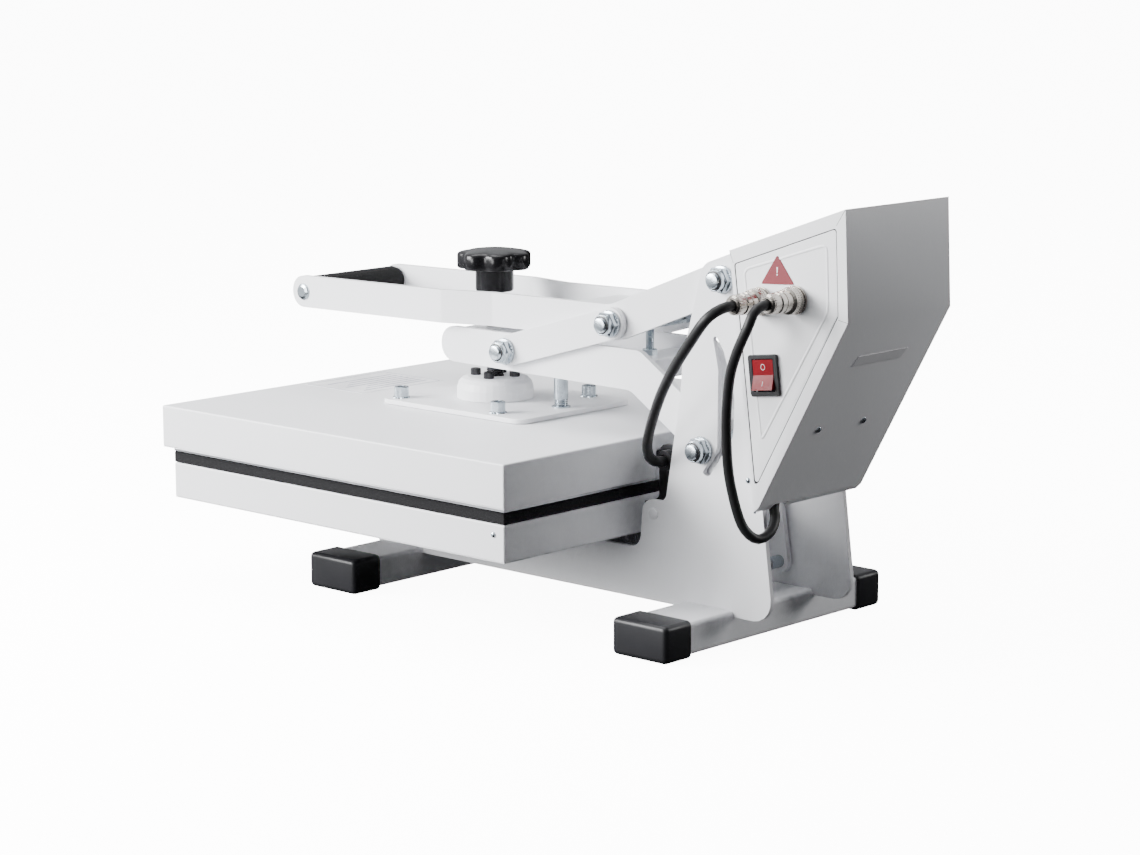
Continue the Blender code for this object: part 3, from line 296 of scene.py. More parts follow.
def stitch(shape, rings, segments):
    """Faces between neighbouring rings; a ring of one point closes to it."""
    for low, high in zip(rings, rings[1:]):
        for k in range(segments):
            j = (k + 1) % segments
            corners = [low[k % len(low)], low[j % len(low)], high[j % len(high)], high[k % len(high)]]
            corners = list(dict.fromkeys(corners))
            if len(corners) > 2:
                shape.faces.new(corners)


def lathe_into(shape, profile, place, segments, teeth=0):
    """Turned surface of (radius, height, tooth depth) points. Ends at radius 0 close to a point."""
    rings = []
    for radius, height, *cut in profile:
        if radius == 0:
            rings.append([shape.verts.new(place @ Vector((0, 0, height)))])
            continue
        depth = cut[0] if cut else 0.0
        ring = []
        for k in range(segments):
            a = 2 * math.pi * k / segments
            r = radius - depth * (0.5 - 0.5 * math.cos(teeth * a))
            ring.append(shape.verts.new(place @ Vector((r * math.cos(a), r * math.sin(a), height))))
        rings.append(ring)
    stitch(shape, rings, segments)


def prism_into(shape, outline, low, high, place, edge=0.0):
    """A solid of a flat outline, with its upper edge bevelled by an inset ring."""
    layers = [(low, 0.0), (high - edge, 0.0), (high, edge)] if edge else [(low, 0.0), (high, 0.0)]
    centre = sum((Vector(p) for p in outline), Vector((0, 0))) / len(outline)
    rings = []
    for height, pull in layers:
        ring = []
        for p in outline:
            away = Vector(p) - centre
            q = centre + away * max(0.0, 1 - pull / max(away.length, 1e-6))
            ring.append(shape.verts.new(place @ Vector((q.x, q.y, height))))
        rings.append(ring)
    stitch(shape, rings, len(outline))
    shape.faces.new(rings[0][::-1])
    shape.faces.new(rings[-1])


def tube_into(shape, points, radius, sides):
    """A tube along points, closed at both ends, with its section carried along without twist."""
    normal = None
    rings = []
    for i, here in enumerate(points):
        before, after = points[max(0, i - 1)], points[min(len(points) - 1, i + 1)]
        along = (Vector(after) - Vector(before)).normalized()
        if normal is None:
            normal = along.orthogonal().normalized()
        normal = (normal - along * normal.dot(along)).normalized()
        other = along.cross(normal)
        ring = []
        for k in range(sides):
            a = 2 * math.pi * k / sides
            spoke = math.cos(a) * normal + math.sin(a) * other
            ring.append(shape.verts.new(Vector(here) + radius * spoke))
        rings.append(ring)
    stitch(shape, rings, sides)
    shape.faces.new(rings[0][::-1])
    shape.faces.new(rings[-1])


# ---------------------------------------------------------------- cords
# From each plug to its gland or terminal.
HEATER_ROUTE = (
    (0.0870, 0.1350, 0.1555), (0.0925, 0.1350, 0.1555), (0.0985, 0.1350, 0.1555),
    (0.1100, 0.1315, 0.1522), (0.1147, 0.1236, 0.1440), (0.1125, 0.1072, 0.1255),
    (0.1060, 0.0878, 0.1055), (0.0970, 0.0685, 0.0841), (0.0865, 0.0513, 0.0628),
    (0.0740, 0.0345, 0.0410), (0.0625, 0.0250, 0.0275), (0.0520, 0.0208, 0.0203),
    (0.0430, 0.0200, 0.0180), (0.0360, 0.0200, 0.0180), (0.0292, 0.0200, 0.0180),
)
SENSOR_ROUTE = (
    (0.0870, 0.1674, 0.1592), (0.0925, 0.1674, 0.1592), (0.0985, 0.1674, 0.1592),
    (0.1092, 0.1665, 0.1552), (0.1138, 0.1640, 0.1440), (0.1125, 0.1522, 0.1228),
    (0.1080, 0.1425, 0.1024), (0.1010, 0.1342, 0.0720), (0.0920, 0.1285, 0.0365),
    (0.0860, 0.1285, 0.0129), (0.0795, 0.1310, -0.0085), (0.0735, 0.1345, -0.0185),
    (0.0655, 0.1368, -0.0228), (0.0570, 0.1380, -0.0210), (0.0495, 0.1375, -0.0165),
    (0.0425, 0.1340, -0.0100), (0.0370, 0.1285, -0.0035), (0.0350, 0.1300, 0.0080),
    (0.0350, 0.1360, 0.0220), (0.0350, 0.1400, 0.0310),
)
HEATER_CORD_R = 0.0040
SENSOR_CORD_R = 0.0038
CORD_STEP = 0.0050
SPAN_STEPS = 24


def smooth_route(points, step):
    """Points every step along a smooth curve through the given ones."""
    points = [Vector(p) for p in points]
    ends = [2 * points[0] - points[1], *points, 2 * points[-1] - points[-2]]
    dense = []
    for a, b, c, d in zip(ends, ends[1:], ends[2:], ends[3:]):
        for k in range(SPAN_STEPS):
            t = k / SPAN_STEPS
            bend = (2 * a - 5 * b + 4 * c - d) * t * t + (3 * b - a - 3 * c + d) * t**3
            dense.append(b + ((c - a) * t + bend) / 2)
    dense.append(points[-1])
    lengths = [(q - p).length for p, q in zip(dense, dense[1:])]
    count = max(2, round(sum(lengths) / step))
    spacing = sum(lengths) / count
    route, walked = [dense[0]], 0.0
    for here, length in zip(dense[1:], lengths):
        walked += length
        if walked >= spacing and len(route) < count:
            route.append(here)
            walked -= spacing
    return [*route, dense[-1]]


def add_cord(name, node, route, radius):
    points = smooth_route([at(*p) for p in route], CORD_STEP)
    curve = bpy.data.curves.new(name, "CURVE")
    curve.dimensions = "3D"
    curve.bevel_depth = radius
    curve.bevel_resolution = 5
    curve.use_fill_caps = True
    line = curve.splines.new("POLY")
    line.points.add(len(points) - 1)
    line.use_smooth = True
    for point, place in zip(line.points, points):
        point.co = (*place, 1)
    made = bpy.data.objects.new(name, curve)
    bpy.context.scene.collection.objects.link(made)
    curve.materials.append(JACKET)
    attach(made, "base")
    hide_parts(node)


add_cord("heater_cord", "heater_cable", HEATER_ROUTE, HEATER_CORD_R)
add_cord("sensor_cord", "sensor_cable", SENSOR_ROUTE, SENSOR_CORD_R)


# ---------------------------------------------------------------- CAD nodes
# Widths of the rounded edges, by node.
EDGES = {
    "head_cover": 0.0016,
    "lower_platen_tray": 0.0014,
    "box_shell": 0.0009,
    "platen_support": 0.0008,
    "heating_platen": 0.0005,
    "silicone_pad": 0.0010,
    "mount_plate": 0.0011,
    "cable_bracket": 0.0006,
    "switch_body": 0.0004,
    "power_inlet": 0.0005,
    "pressure_knob": 0.0016,
    "display_window": 0.0004,
    "terminal_block": 0.0005,
    "lever_web": 0.0006,
    "stop_bracket": 0.0004,
    "arm_crosshead": 0.0006,
    "rear_brace": 0.0004,
}
for side in ("left", "right"):
    EDGES.update({f"base_plate_{side}": 0.0006, f"arm_plate_{side}": 0.0008, f"link_{side}": 0.0008})
    EDGES.update({f"lever_bar_{side}": 0.0008, f"side_panel_{side}": 0.0004})


def soften(obj, width):
    """Rounds a node's sharp edges and evens out its shading."""
    weld = obj.modifiers.new("weld", "WELD")
    weld.merge_threshold = 0.00002
    edge = obj.modifiers.new("edge", "BEVEL")
    edge.width = width
    edge.segments = 3
    edge.limit_method = "ANGLE"
    edge.angle_limit = math.radians(40)
    edge.use_clamp_overlap = True
    shade = obj.modifiers.new("shade", "WEIGHTED_NORMAL")
    shade.keep_sharp = False


def dress_nodes():
    slots = {entry["node"]: entry["material_slot"] for entry in frame["record"]["subparts"]}
    for name, obj in NODES.items():
        obj.data.materials.clear()
        obj.data.materials.append(FINISHES[slots[name]])
        if name in EDGES:
            soften(obj, EDGES[name])


dress_nodes()


# ---------------------------------------------------------------- driving sizes of the details
BASE_HALF = 0.0513  # outer face of the side plates
BOLT_R = 0.0060
NUT_FACE = BASE_HALF + 0.0003
BOLT_END = NUT_FACE + 0.0137
PIVOTS = {  # body, Y and height of each bolt
    "lever_pivot_bolt": ("base", 0.0885, 0.1665),
    "arm_pivot_bolt": ("base", 0.0691, 0.0343),
    "link_foot_bolt": ("arm", -0.1373, 0.0894),
}
LINK_TOP = (-0.0241, 0.1223)
STUD_FROM = 0.0466  # inner end of a link's stud

ANCHOR = (-0.1700, -0.0640)  # front eye of the springs
TAIL_PIN = (0.0724, -0.0665)
SPRING_X = 0.0227
SPRING_R = 0.0105
WIRE_R = 0.0014
SPRING_TURNS = 54
COIL_STEPS = 14  # points per turn
COIL_END = 0.08  # share of the length before and after the coils
EYE_R = 0.0050

SCREW_Y = -0.1983
PLATE_TOP = 0.0390  # upper face of the mount plate
PLATE_SCREW_X = 0.0545  # from the pressure screw
PLATE_SCREW_Y = 0.0556
HUB_TOP = 0.0572
HUB_SCREWS_R = 0.0170  # circle that the hub's screws stand on
HUB_SCREWS_TURN = 26  # degrees
GUIDE_Y = SCREW_Y + 0.0745
GUIDE_R = 0.0058
STOP_Y = -0.0280
STOP_NUT_LOW = 0.0920
STOP_TOP = 0.1131

BOX_FACE = 0.0627  # raised field of the box's side panels
BOX_FRONT = (0.1045, 0.1906)  # corners of the box's outline, (Y, height)
BOX_TOP = (0.2115, 0.2283)
BOX_KNEE = (0.2150, 0.1464)
BOX_FOOT = (0.1345, 0.0005)
SOCKETS = ((0.1350, 0.1555), (0.1674, 0.1592))
SWITCH = (0.1396, 0.1008)
SWITCH_TILT = math.radians(7.2)
ROCKER_PIVOT_X = 0.0635


def across(x, y, height, side=1):
    """A frame at a point whose Z points outwards along X."""
    return frame_on(at(x, y, height), (side, 0, 0))


def upright(x, y, height=0.0):
    """A frame at a point whose Z points up."""
    return Matrix.Translation(at(x, y, height))


def circle(radius, count):
    turn = 2 * math.pi / count
    return [(radius * math.cos(turn * k), radius * math.sin(turn * k)) for k in range(count)]


THREAD_ROWS = 6  # rings per turn


def thread_into(shape, place, low, high, radius, pitch, depth, segments=20):
    """A rod with a helical thread, closed by a chamfer at each end."""
    count = round((high - low) / pitch * THREAD_ROWS)
    rings = [[shape.verts.new(place @ Vector((0, 0, low)))]]
    for i in range(count + 1):
        height = low + (high - low) * i / count
        ring = []
        for k in range(segments):
            a = 2 * math.pi * k / segments
            phase = ((height - low) / pitch - k / segments) % 1.0
            r = radius - depth * abs(2 * phase - 1) - (depth if i in (0, count) else 0.0)
            ring.append(shape.verts.new(place @ Vector((r * math.cos(a), r * math.sin(a), height))))
        rings.append(ring)
    rings.append([shape.verts.new(place @ Vector((0, 0, high)))])
    stitch(shape, rings, segments)


# ---------------------------------------------------------------- pivot hardware
# Turned profiles of (radius, reach from the clamped face, tooth depth).
NUT_PROFILE = (
    (0.0062, 0.0000), (0.0104, 0.0000), (0.0108, 0.0004, 0.0005), (0.0108, 0.0016, 0.0005),
    (0.0102, 0.0024), (0.0086, 0.0027),
)
COLLAR_PROFILE = ((0.0084, 0.0072), (0.0084, 0.0092), (0.0079, 0.0102), (0.0072, 0.0106), (0.0067, 0.0104))
INSERT_PROFILE = ((0.0072, 0.0098), (0.0071, 0.0107), (0.0062, 0.0110), (0.0061, 0.0098))
HEX_R = 0.0104


def bolt_end(reach):
    """Outer end of a bolt: two turns of thread and a domed tip."""
    return [
        (BOLT_R, reach - 0.0034), (BOLT_R - 0.0005, reach - 0.0031), (BOLT_R, reach - 0.0026),
        (BOLT_R - 0.0005, reach - 0.0021), (BOLT_R, reach - 0.0016), (BOLT_R - 0.0006, reach - 0.0006),
        (BOLT_R - 0.0022, reach - 0.0002), (0, reach),
    ]


def nut_into(shape, place):
    """Flange nut: serrated flange, hexagon with chamfered corners, and the collar of its insert."""
    lathe_into(shape, NUT_PROFILE, place, 96, 24)
    low, high = 0.0020, 0.0076
    hexagon = [(BOLT_R, low), (HEX_R, low), (HEX_R, high - 0.0010), (HEX_R - 0.0013, high), (BOLT_R, high)]
    lathe_into(shape, hexagon, place, 6)
    lathe_into(shape, COLLAR_PROFILE, place, 32)


def add_bolt(node, body, y, height):
    """A pivot bolt through the side plates, with a nut at each end."""
    shape, inserts = bmesh.new(), bmesh.new()
    outer = bolt_end(BOLT_END)
    inner = [(radius, -x) for radius, x in reversed(outer)]
    lathe_into(shape, inner + outer, across(0, y, height), 28)
    for side in (1, -1):
        nut_into(shape, across(side * NUT_FACE, y, height, side))
        lathe_into(inserts, INSERT_PROFILE, across(side * NUT_FACE, y, height, side), 28)
    made = from_bmesh(f"{node}_set", shape, body, ZINC, 30)
    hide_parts(node)
    from_bmesh(f"{node}_inserts", inserts, body, BLACK)


def add_stud(name, side):
    """The link's bolt at the lever, with its nut."""
    shape, insert = bmesh.new(), bmesh.new()
    outer = [(0, STUD_FROM), (BOLT_R, STUD_FROM), *bolt_end(BOLT_END)]
    lathe_into(shape, outer, across(0, *LINK_TOP, side), 28)
    nut_into(shape, across(side * NUT_FACE, *LINK_TOP, side))
    lathe_into(insert, INSERT_PROFILE, across(side * NUT_FACE, *LINK_TOP, side), 28)
    made = from_bmesh(f"link_stud_set_{name}", shape, "links", ZINC, 30)
    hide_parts(f"link_stud_{name}")
    from_bmesh(f"link_stud_insert_{name}", insert, "links", BLACK)


for bolt, (bolt_body, bolt_y, bolt_height) in PIVOTS.items():
    add_bolt(bolt, bolt_body, bolt_y, bolt_height)
add_stud("left", -1)
add_stud("right", 1)


# ---------------------------------------------------------------- counter springs
def spring_line(x):
    """Centreline of a spring: hook, coils, hook."""
    start, end = at(x, *ANCHOR), at(x, *TAIL_PIN)
    along = (end - start).normalized()
    rise = Vector((1, 0, 0)).cross(along)
    coil_r = SPRING_R - WIRE_R
    hook_r = EYE_R + WIRE_R
    length = (end - start).length
    low, high = length * COIL_END, length * (1 - COIL_END)
    count = SPRING_TURNS * COIL_STEPS
    coils = []
    for k in range(count + 1):
        a = 2 * math.pi * k / COIL_STEPS
        centre = start + along * (low + (high - low) * k / count)
        coils.append(centre + coil_r * (math.cos(a) * rise + math.sin(a) * Vector((1, 0, 0))))

    def hook(pin, inward):
        angles = [math.radians(degrees) for degrees in range(-240, 1, 20)]
        eye = [pin + hook_r * (math.cos(a) * inward + math.sin(a) * rise) for a in angles]
        return [*eye, pin + inward * (hook_r + 0.003) + rise * 0.001]

    neck = rise * coil_r * 0.6
    return [
        *hook(start, along), start + along * (low - 0.003) + neck,
        *coils,
        end - along * (length - high - 0.003) + neck, *reversed(hook(end, -along)),
    ]


def add_spring(name, x):
    shape = bmesh.new()
    tube_into(shape, spring_line(x), WIRE_R, 7)
    made = from_bmesh(f"counter_spring_coil_{name}", shape, "base", STEEL, 60)
    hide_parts(f"counter_spring_{name}")
    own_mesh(made)


add_spring("left", -SPRING_X)
add_spring("right", SPRING_X)


# ---------------------------------------------------------------- pressure screw and knob
KNOB_R = 0.0310
KNOB_LOBES = 7
KNOB_SEGMENTS = 112
KNOB_LOW, KNOB_HIGH = 0.1470, 0.1640
STEM_R = 0.0158
STEM_LOW = 0.1280


def lobed_ring(shape, radius, depth, height, place):
    """A ring of the knob, with flat lobes and rounder hollows of some depth between them."""
    ring = []
    for k in range(KNOB_SEGMENTS):
        a = 2 * math.pi * k / KNOB_SEGMENTS
        wave = 0.5 + 0.5 * math.cos(KNOB_LOBES * a)
        r = radius - depth * (1 - wave) ** 1.6
        ring.append(shape.verts.new(place @ Vector((r * math.cos(a), r * math.sin(a), height))))
    return ring


def add_knob():
    """Lobed knob with a slightly domed top, on a round stem."""
    shape = bmesh.new()
    place = upright(0, SCREW_Y)
    low, high = KNOB_LOW, KNOB_HIGH
    levels = (
        (0.0150, 0.0, low - 0.0002),
        (KNOB_R - 0.0018, 0.0036, low),
        (KNOB_R - 0.0006, 0.0042, low + 0.0006),
        (KNOB_R, 0.0044, low + 0.0018),
        (KNOB_R, 0.0044, high - 0.0058),
        (KNOB_R - 0.0006, 0.0042, high - 0.0044),
        (KNOB_R - 0.0022, 0.0036, high - 0.0034),
        (KNOB_R - 0.0050, 0.0022, high - 0.0027),
        (0.0205, 0.0006, high - 0.0018),
        (0.0145, 0.0, high - 0.0010),
        (0.0080, 0.0, high - 0.0003),
    )
    rings = [lobed_ring(shape, *level, place) for level in levels]
    rings.append([shape.verts.new(place @ Vector((0, 0, high)))])
    stitch(shape, rings, KNOB_SEGMENTS)
    stem = (
        (0, STEM_LOW + 0.0001), (STEM_R - 0.0016, STEM_LOW), (STEM_R - 0.0005, STEM_LOW + 0.0005),
        (STEM_R, STEM_LOW + 0.0018), (STEM_R, low - 0.0012), (STEM_R + 0.0005, low - 0.0004),
        (STEM_R + 0.0014, low + 0.0006), (0, low + 0.0006),
    )
    lathe_into(shape, stem, place, 48)
    made = from_bmesh("knob_moulding", shape, "pressure_screw", BAKELITE, 40)
    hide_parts("pressure_knob")


def add_spindle():
    low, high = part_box("pressure_spindle")
    shape = bmesh.new()
    place = upright(0, SCREW_Y)
    thread_into(shape, place, low.z - ORIGIN.z, high.z - ORIGIN.z, 0.0074, 0.0020, 0.0009)
    made = from_bmesh("threaded_spindle", shape, "pressure_screw", OXIDE, 60)
    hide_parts("pressure_spindle")


def cap_screw(shape, x, y, foot, radius, height, recess):
    """Cap screw with a knurled rim and a round recess of its own radius."""
    profile = [
        (radius, foot, 0.0002), (radius, foot + height - 0.0006, 0.0002), (radius - 0.0006, foot + height),
        (recess + 0.0003, foot + height), (recess, foot + height - 0.0003), (recess, foot + height * 0.5),
        (0, foot + height * 0.45),
    ]
    lathe_into(shape, profile, upright(x, y), 72, 36)


def add_hub_screws():
    shape = bmesh.new()
    for k in range(4):
        a = math.radians(HUB_SCREWS_TURN + 90 * k)
        x, y = HUB_SCREWS_R * math.cos(a), SCREW_Y + HUB_SCREWS_R * math.sin(a)
        cap_screw(shape, x, y, HUB_TOP, 0.0043, 0.0055, 0.0022)
    from_bmesh("hub_screws", shape, "head", OXIDE, 30)


def add_plate_screws():
    """Zinc cap screws at the mount plate's corners, each on a serrated flange."""
    shape = bmesh.new()
    flange = (
        (0, PLATE_TOP), (0.0074, PLATE_TOP, 0.0008), (0.0072, PLATE_TOP + 0.0009, 0.0008),
        (0.0060, PLATE_TOP + 0.0014),
    )
    for x in (-PLATE_SCREW_X, PLATE_SCREW_X):
        for y in (SCREW_Y - PLATE_SCREW_Y, SCREW_Y + PLATE_SCREW_Y):
            lathe_into(shape, flange, upright(x, y), 64, 16)
            cap_screw(shape, x, y, PLATE_TOP + 0.0010, 0.0060, 0.0085, 0.0036)
    from_bmesh("plate_screws", shape, "head", ZINC, 30)


def add_guide_stud():
    """Turned stud behind the pressure screw: washer, a short thread and a plain rod."""
    shape = bmesh.new()
    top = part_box("guide_stud")[1].z - ORIGIN.z
    place = upright(0, GUIDE_Y)
    thread_into(shape, place, PLATE_TOP, PLATE_TOP + 0.0075, GUIDE_R - 0.0002, 0.0015, 0.0006, 24)
    rod = (
        (0, PLATE_TOP + 0.0070), (GUIDE_R - 0.0002, PLATE_TOP + 0.0070), (GUIDE_R, PLATE_TOP + 0.0078),
        (GUIDE_R, top - 0.0012), (GUIDE_R - 0.0008, top), (0, top),
    )
    lathe_into(shape, rod, place, 32)
    washer = (
        (0, PLATE_TOP), (GUIDE_R + 0.0020, PLATE_TOP), (GUIDE_R + 0.0020, PLATE_TOP + 0.0010),
        (GUIDE_R, PLATE_TOP + 0.0014),
    )
    lathe_into(shape, washer, place, 32)
    made = from_bmesh("guide_stud_turned", shape, "head", ZINC, 30)
    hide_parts("guide_stud")


def add_stop_screw():
    """The arm's stop screw with its lock nut."""
    shape = bmesh.new()
    place = upright(0, STOP_Y)
    radius, low, high = 0.0034, STOP_NUT_LOW, STOP_NUT_LOW + 0.0050
    thread_into(shape, place, low + 0.0005, STOP_TOP, radius, 0.0010, 0.0004)
    nut = ((radius, low), (0.0060, low), (0.0060, high - 0.0006), (0.0052, high), (radius, high))
    lathe_into(shape, nut, place, 6)
    from_bmesh("stop_screw", shape, "arm", ZINC, 30)


add_knob()
add_spindle()
add_hub_screws()
add_plate_screws()
add_guide_stud()
add_stop_screw()


# ---------------------------------------------------------------- control box details
CORNER_STEPS = 5
BEAD_SECTION = ((-1.0, -0.3), (-0.7, 0.55), (0.0, 1.0), (0.7, 0.55), (1.0, -0.3))


def rounded_loop(corners, radius):
    """Points of a closed outline of (Y, height) with rounded corners."""
    made = []
    count = len(corners)
    for i in range(count):
        here = Vector(corners[i])
        before = (Vector(corners[i - 1]) - here).normalized()
        after = (Vector(corners[(i + 1) % count]) - here).normalized()
        for k in range(CORNER_STEPS + 1):
            t = k / CORNER_STEPS
            p = here + before * radius * (1 - t) ** 2 + after * radius * t**2
            made.append((p.x, p.y))
    return made


def bead_into(shape, x, side, outline, width, rise):
    """A raised half-round line around an outline, on a face across X."""
    count = len(outline)
    rings = []
    for i in range(count):
        before, here, after = (Vector(outline[(i + d) % count]) for d in (-1, 0, 1))
        along = (after - before).normalized()
        out = Vector((along.y, -along.x))
        ring = []
        for shift, height in BEAD_SECTION:
            p = here + out * shift * width / 2
            ring.append(shape.verts.new(at(side * (x + rise * height), p.x, p.y)))
        rings.append(ring)
    for i in range(count):
        a, b = rings[i], rings[(i + 1) % count]
        for k in range(len(BEAD_SECTION) - 1):
            shape.faces.new((a[k], a[k + 1], b[k + 1], b[k]))


PANEL_OUTLINE = ((0.1184, 0.1773), (0.1948, 0.2016), (0.1968, 0.1531), (0.1363, 0.0513))
BEAD_WIDTH = 0.0026
BEAD_RISE = 0.00045
TRIANGLE = ((0.1498, 0.1907), (0.1349, 0.1683), (0.1658, 0.1701))
LABEL_CENTRE = (0.1500, 0.1760)
LABEL_RISE = 0.0005


def add_beads(name, side):
    """The embossed outline on a side panel."""
    shape = bmesh.new()
    bead_into(shape, BOX_FACE, side, rounded_loop(PANEL_OUTLINE, 0.0055), BEAD_WIDTH, BEAD_RISE)
    from_bmesh(f"panel_bead_{name}", shape, "base", WHITE, 60)


def face_outline(points, centre):
    """(Y, height) points as an outline around a centre, for a frame across X."""
    return [(y - centre[0], h - centre[1]) for y, h in points]


def side_frame(centre):
    """A frame on the right panel: X along Y, Y up, Z outwards."""
    turn = Matrix(((0, 0, 1), (1, 0, 0), (0, 1, 0))).to_4x4()
    return Matrix.Translation(at(BOX_FACE, *centre)) @ turn


def add_triangle():
    """A red triangle label with an exclamation mark: a tapered stroke over a dot."""
    place = side_frame(LABEL_CENTRE)
    shape = bmesh.new()
    outline = face_outline(rounded_loop(TRIANGLE, 0.0018), LABEL_CENTRE)
    prism_into(shape, outline, 0.0, LABEL_RISE, place)
    from_bmesh("caution_label", shape, "base", LABEL_RED, 50)
    lines = bmesh.new()
    low, high = LABEL_RISE - 0.0001, LABEL_RISE + 0.00008
    mark = place @ Matrix.Translation((0, 0.0026, 0))
    stroke = [(-0.00035, -0.0010), (0.00035, -0.0010), (0.0006, 0.0032), (-0.0006, 0.0032)]
    prism_into(lines, stroke, low, high, mark)
    prism_into(lines, circle(0.0006, 12), low, high, mark @ Matrix.Translation((0, -0.0024, 0)))
    from_bmesh("caution_label_lines", lines, "base", LABEL, 50)


ROCKER_FLAT = 0.00148  # the pressed half's face beyond the pivot
ROCKER_TIP = 0.0053  # the raised half's end beyond the pivot
ROCKER_HALF = 0.0105


def add_rocker_marks():
    """A ring on the rocker's pressed half and a bar on its raised half."""
    turn = Matrix.Rotation(math.pi / 2 + SWITCH_TILT, 4, "X")
    place = Matrix.Translation(at(ROCKER_PIVOT_X, *SWITCH)) @ turn
    slope = (ROCKER_TIP - ROCKER_FLAT) / ROCKER_HALF
    shape = bmesh.new()
    angles = [2 * math.pi * k / 24 for k in range(25)]
    ring = [Vector((ROCKER_FLAT, 0.0062 + 0.0021 * math.sin(a), 0.0019 * math.cos(a))) for a in angles]
    tube_into(shape, [place @ point for point in ring], 0.00024, 6)
    bar = [Vector((ROCKER_FLAT + d * slope, -d, 0)) for d in (0.0042, 0.0078)]
    tube_into(shape, [place @ point for point in bar], 0.00026, 6)
    from_bmesh("rocker_marks", shape, "power_rocker", LABEL, 50)


def control_frame(x, share, rise):
    """A frame over the sloping control face, at a share of the way to its rear edge."""
    front, rear = Vector(BOX_FRONT), Vector(BOX_TOP)
    place = front.lerp(rear, share)
    tilt = math.atan2(rear.y - front.y, rear.x - front.x)
    out = Vector((0, -math.sin(tilt), math.cos(tilt)))
    return Matrix.Translation(at(x, place.x, place.y) + out * rise) @ Matrix.Rotation(tilt, 4, "X")


# Bars of a digit: places as shares of its width and half its height, and whether the bar stands.
SEGMENTS = {
    "a": (0, 1, False),
    "b": (0.5, 0.5, True),
    "c": (0.5, -0.5, True),
    "d": (0, -1, False),
    "e": (-0.5, -0.5, True),
    "f": (-0.5, 0.5, True),
}
ONE, ZERO = "bc", "abcdef"
READING = (ONE, ZERO, ZERO, ONE, ZERO, ZERO)
DIGIT_WIDTH = 0.0038
DIGIT_HALF_HEIGHT = 0.0036
DIGIT_STEP = 0.0064
DIGIT_GAP = 0.0030  # between the two groups of three
FIRST_DIGIT_X = -0.0175
DISPLAY_SHARE = 0.66
WINDOW_RISE = 0.0026  # the window's face over the control face
BAR_HALF = (0.0015, 0.00045)


def add_display():
    """Two groups of seven-segment digits, just over the window's face."""
    shape = bmesh.new()
    place = control_frame(0, DISPLAY_SHARE, WINDOW_RISE)
    for i, digit in enumerate(READING):
        x = FIRST_DIGIT_X + i * DIGIT_STEP + (DIGIT_GAP if i > 2 else 0.0)
        for key in digit:
            across_share, up_share, standing = SEGMENTS[key]
            bar = (x + across_share * DIGIT_WIDTH, up_share * DIGIT_HALF_HEIGHT, 0)
            half, tall = reversed(BAR_HALF) if standing else BAR_HALF
            outline = [(-half, -tall), (half, -tall), (half, tall), (-half, tall)]
            prism_into(shape, outline, -0.0001, 0.00002, place @ Matrix.Translation(bar))
    from_bmesh("display_digits", shape, "base", GLOW, 50)


KEY_STEP = 0.022
KEY_MARKS_SHARE = 0.185
KEY_MARK_R = 0.0016


def add_keys():
    """Generic marks in front of the keys: a ring, a minus and a plus."""
    shape = bmesh.new()
    ring, minus, plus = (control_frame(x, KEY_MARKS_SHARE, 0.0001) for x in (-KEY_STEP, 0.0, KEY_STEP))
    angles = [2 * math.pi * k / 20 for k in range(21)]
    loop = [Vector((KEY_MARK_R * math.cos(a), KEY_MARK_R * math.sin(a), 0)) for a in angles]
    tube_into(shape, [ring @ point for point in loop], 0.00022, 6)
    for place, axis in ((minus, (1, 0, 0)), (plus, (1, 0, 0)), (plus, (0, 1, 0))):
        ends = [place @ (Vector(axis) * d) for d in (-KEY_MARK_R, KEY_MARK_R)]
        tube_into(shape, ends, 0.00024, 6)
    from_bmesh("key_marks", shape, "base", LABEL_INK, 50)


def rear_frame(x, share):
    """A frame on the box's rear slope: X to the machine's left, Y up the slope, Z outwards."""
    knee, foot = Vector(BOX_KNEE), Vector(BOX_FOOT)
    place = foot.lerp(knee, share)
    slope = math.atan2(knee.y - foot.y, knee.x - foot.x)
    out = Vector((0, math.sin(slope), -math.cos(slope)))
    up = Vector((0, math.cos(slope), math.sin(slope)))
    turn = Matrix((Vector((-1, 0, 0)), up, out)).transposed().to_4x4()
    return Matrix.Translation(at(x, place.x, place.y)) @ turn


BOX_SCREWS_X = (0.034, -0.021)
BOX_SCREWS_SHARE = 0.405
PLATE_SHARE = 0.773
DOME_PROFILE = (
    (0.0028, 0.0), (0.0027, 0.0006), (0.0020, 0.0013), (0.0009, 0.0016), (0.0008, 0.0009), (0, 0.0008),
)


def add_rear_details():
    """Two dome screws and a blank raised plate on the rear slope."""
    screws, plate = bmesh.new(), bmesh.new()
    for x in BOX_SCREWS_X:
        lathe_into(screws, DOME_PROFILE, rear_frame(x, BOX_SCREWS_SHARE), 20)
    from_bmesh("box_screws", screws, "base", ZINC, 35)
    outline = [(-0.032, -0.0043), (0.028, -0.0043), (0.032, 0.0043), (-0.028, 0.0043)]
    prism_into(plate, outline, 0.0, 0.0005, rear_frame(0.0, PLATE_SHARE), 0.0003)
    # The name plate takes the darker copy of the white paint: painted shade.
    from_bmesh("name_plate", plate, "base", SHADED_WHITE, 30)


SEAM_X = 0.06295
RIM_SEAMS = (
    (BOX_TOP, (0.2035, 0.2160)),
    (BOX_KNEE, (0.2063, 0.1480)),
    (BOX_FRONT, (0.1083, 0.1815)),
)


def add_seams():
    """Joints of the folded rim at the box's corners."""
    shape = bmesh.new()
    for side in (1, -1):
        for ends in RIM_SEAMS:
            tube_into(shape, [at(side * SEAM_X, *p) for p in ends], 0.00018, 6)
    from_bmesh("rim_seams", shape, "base", BLACK, 60)


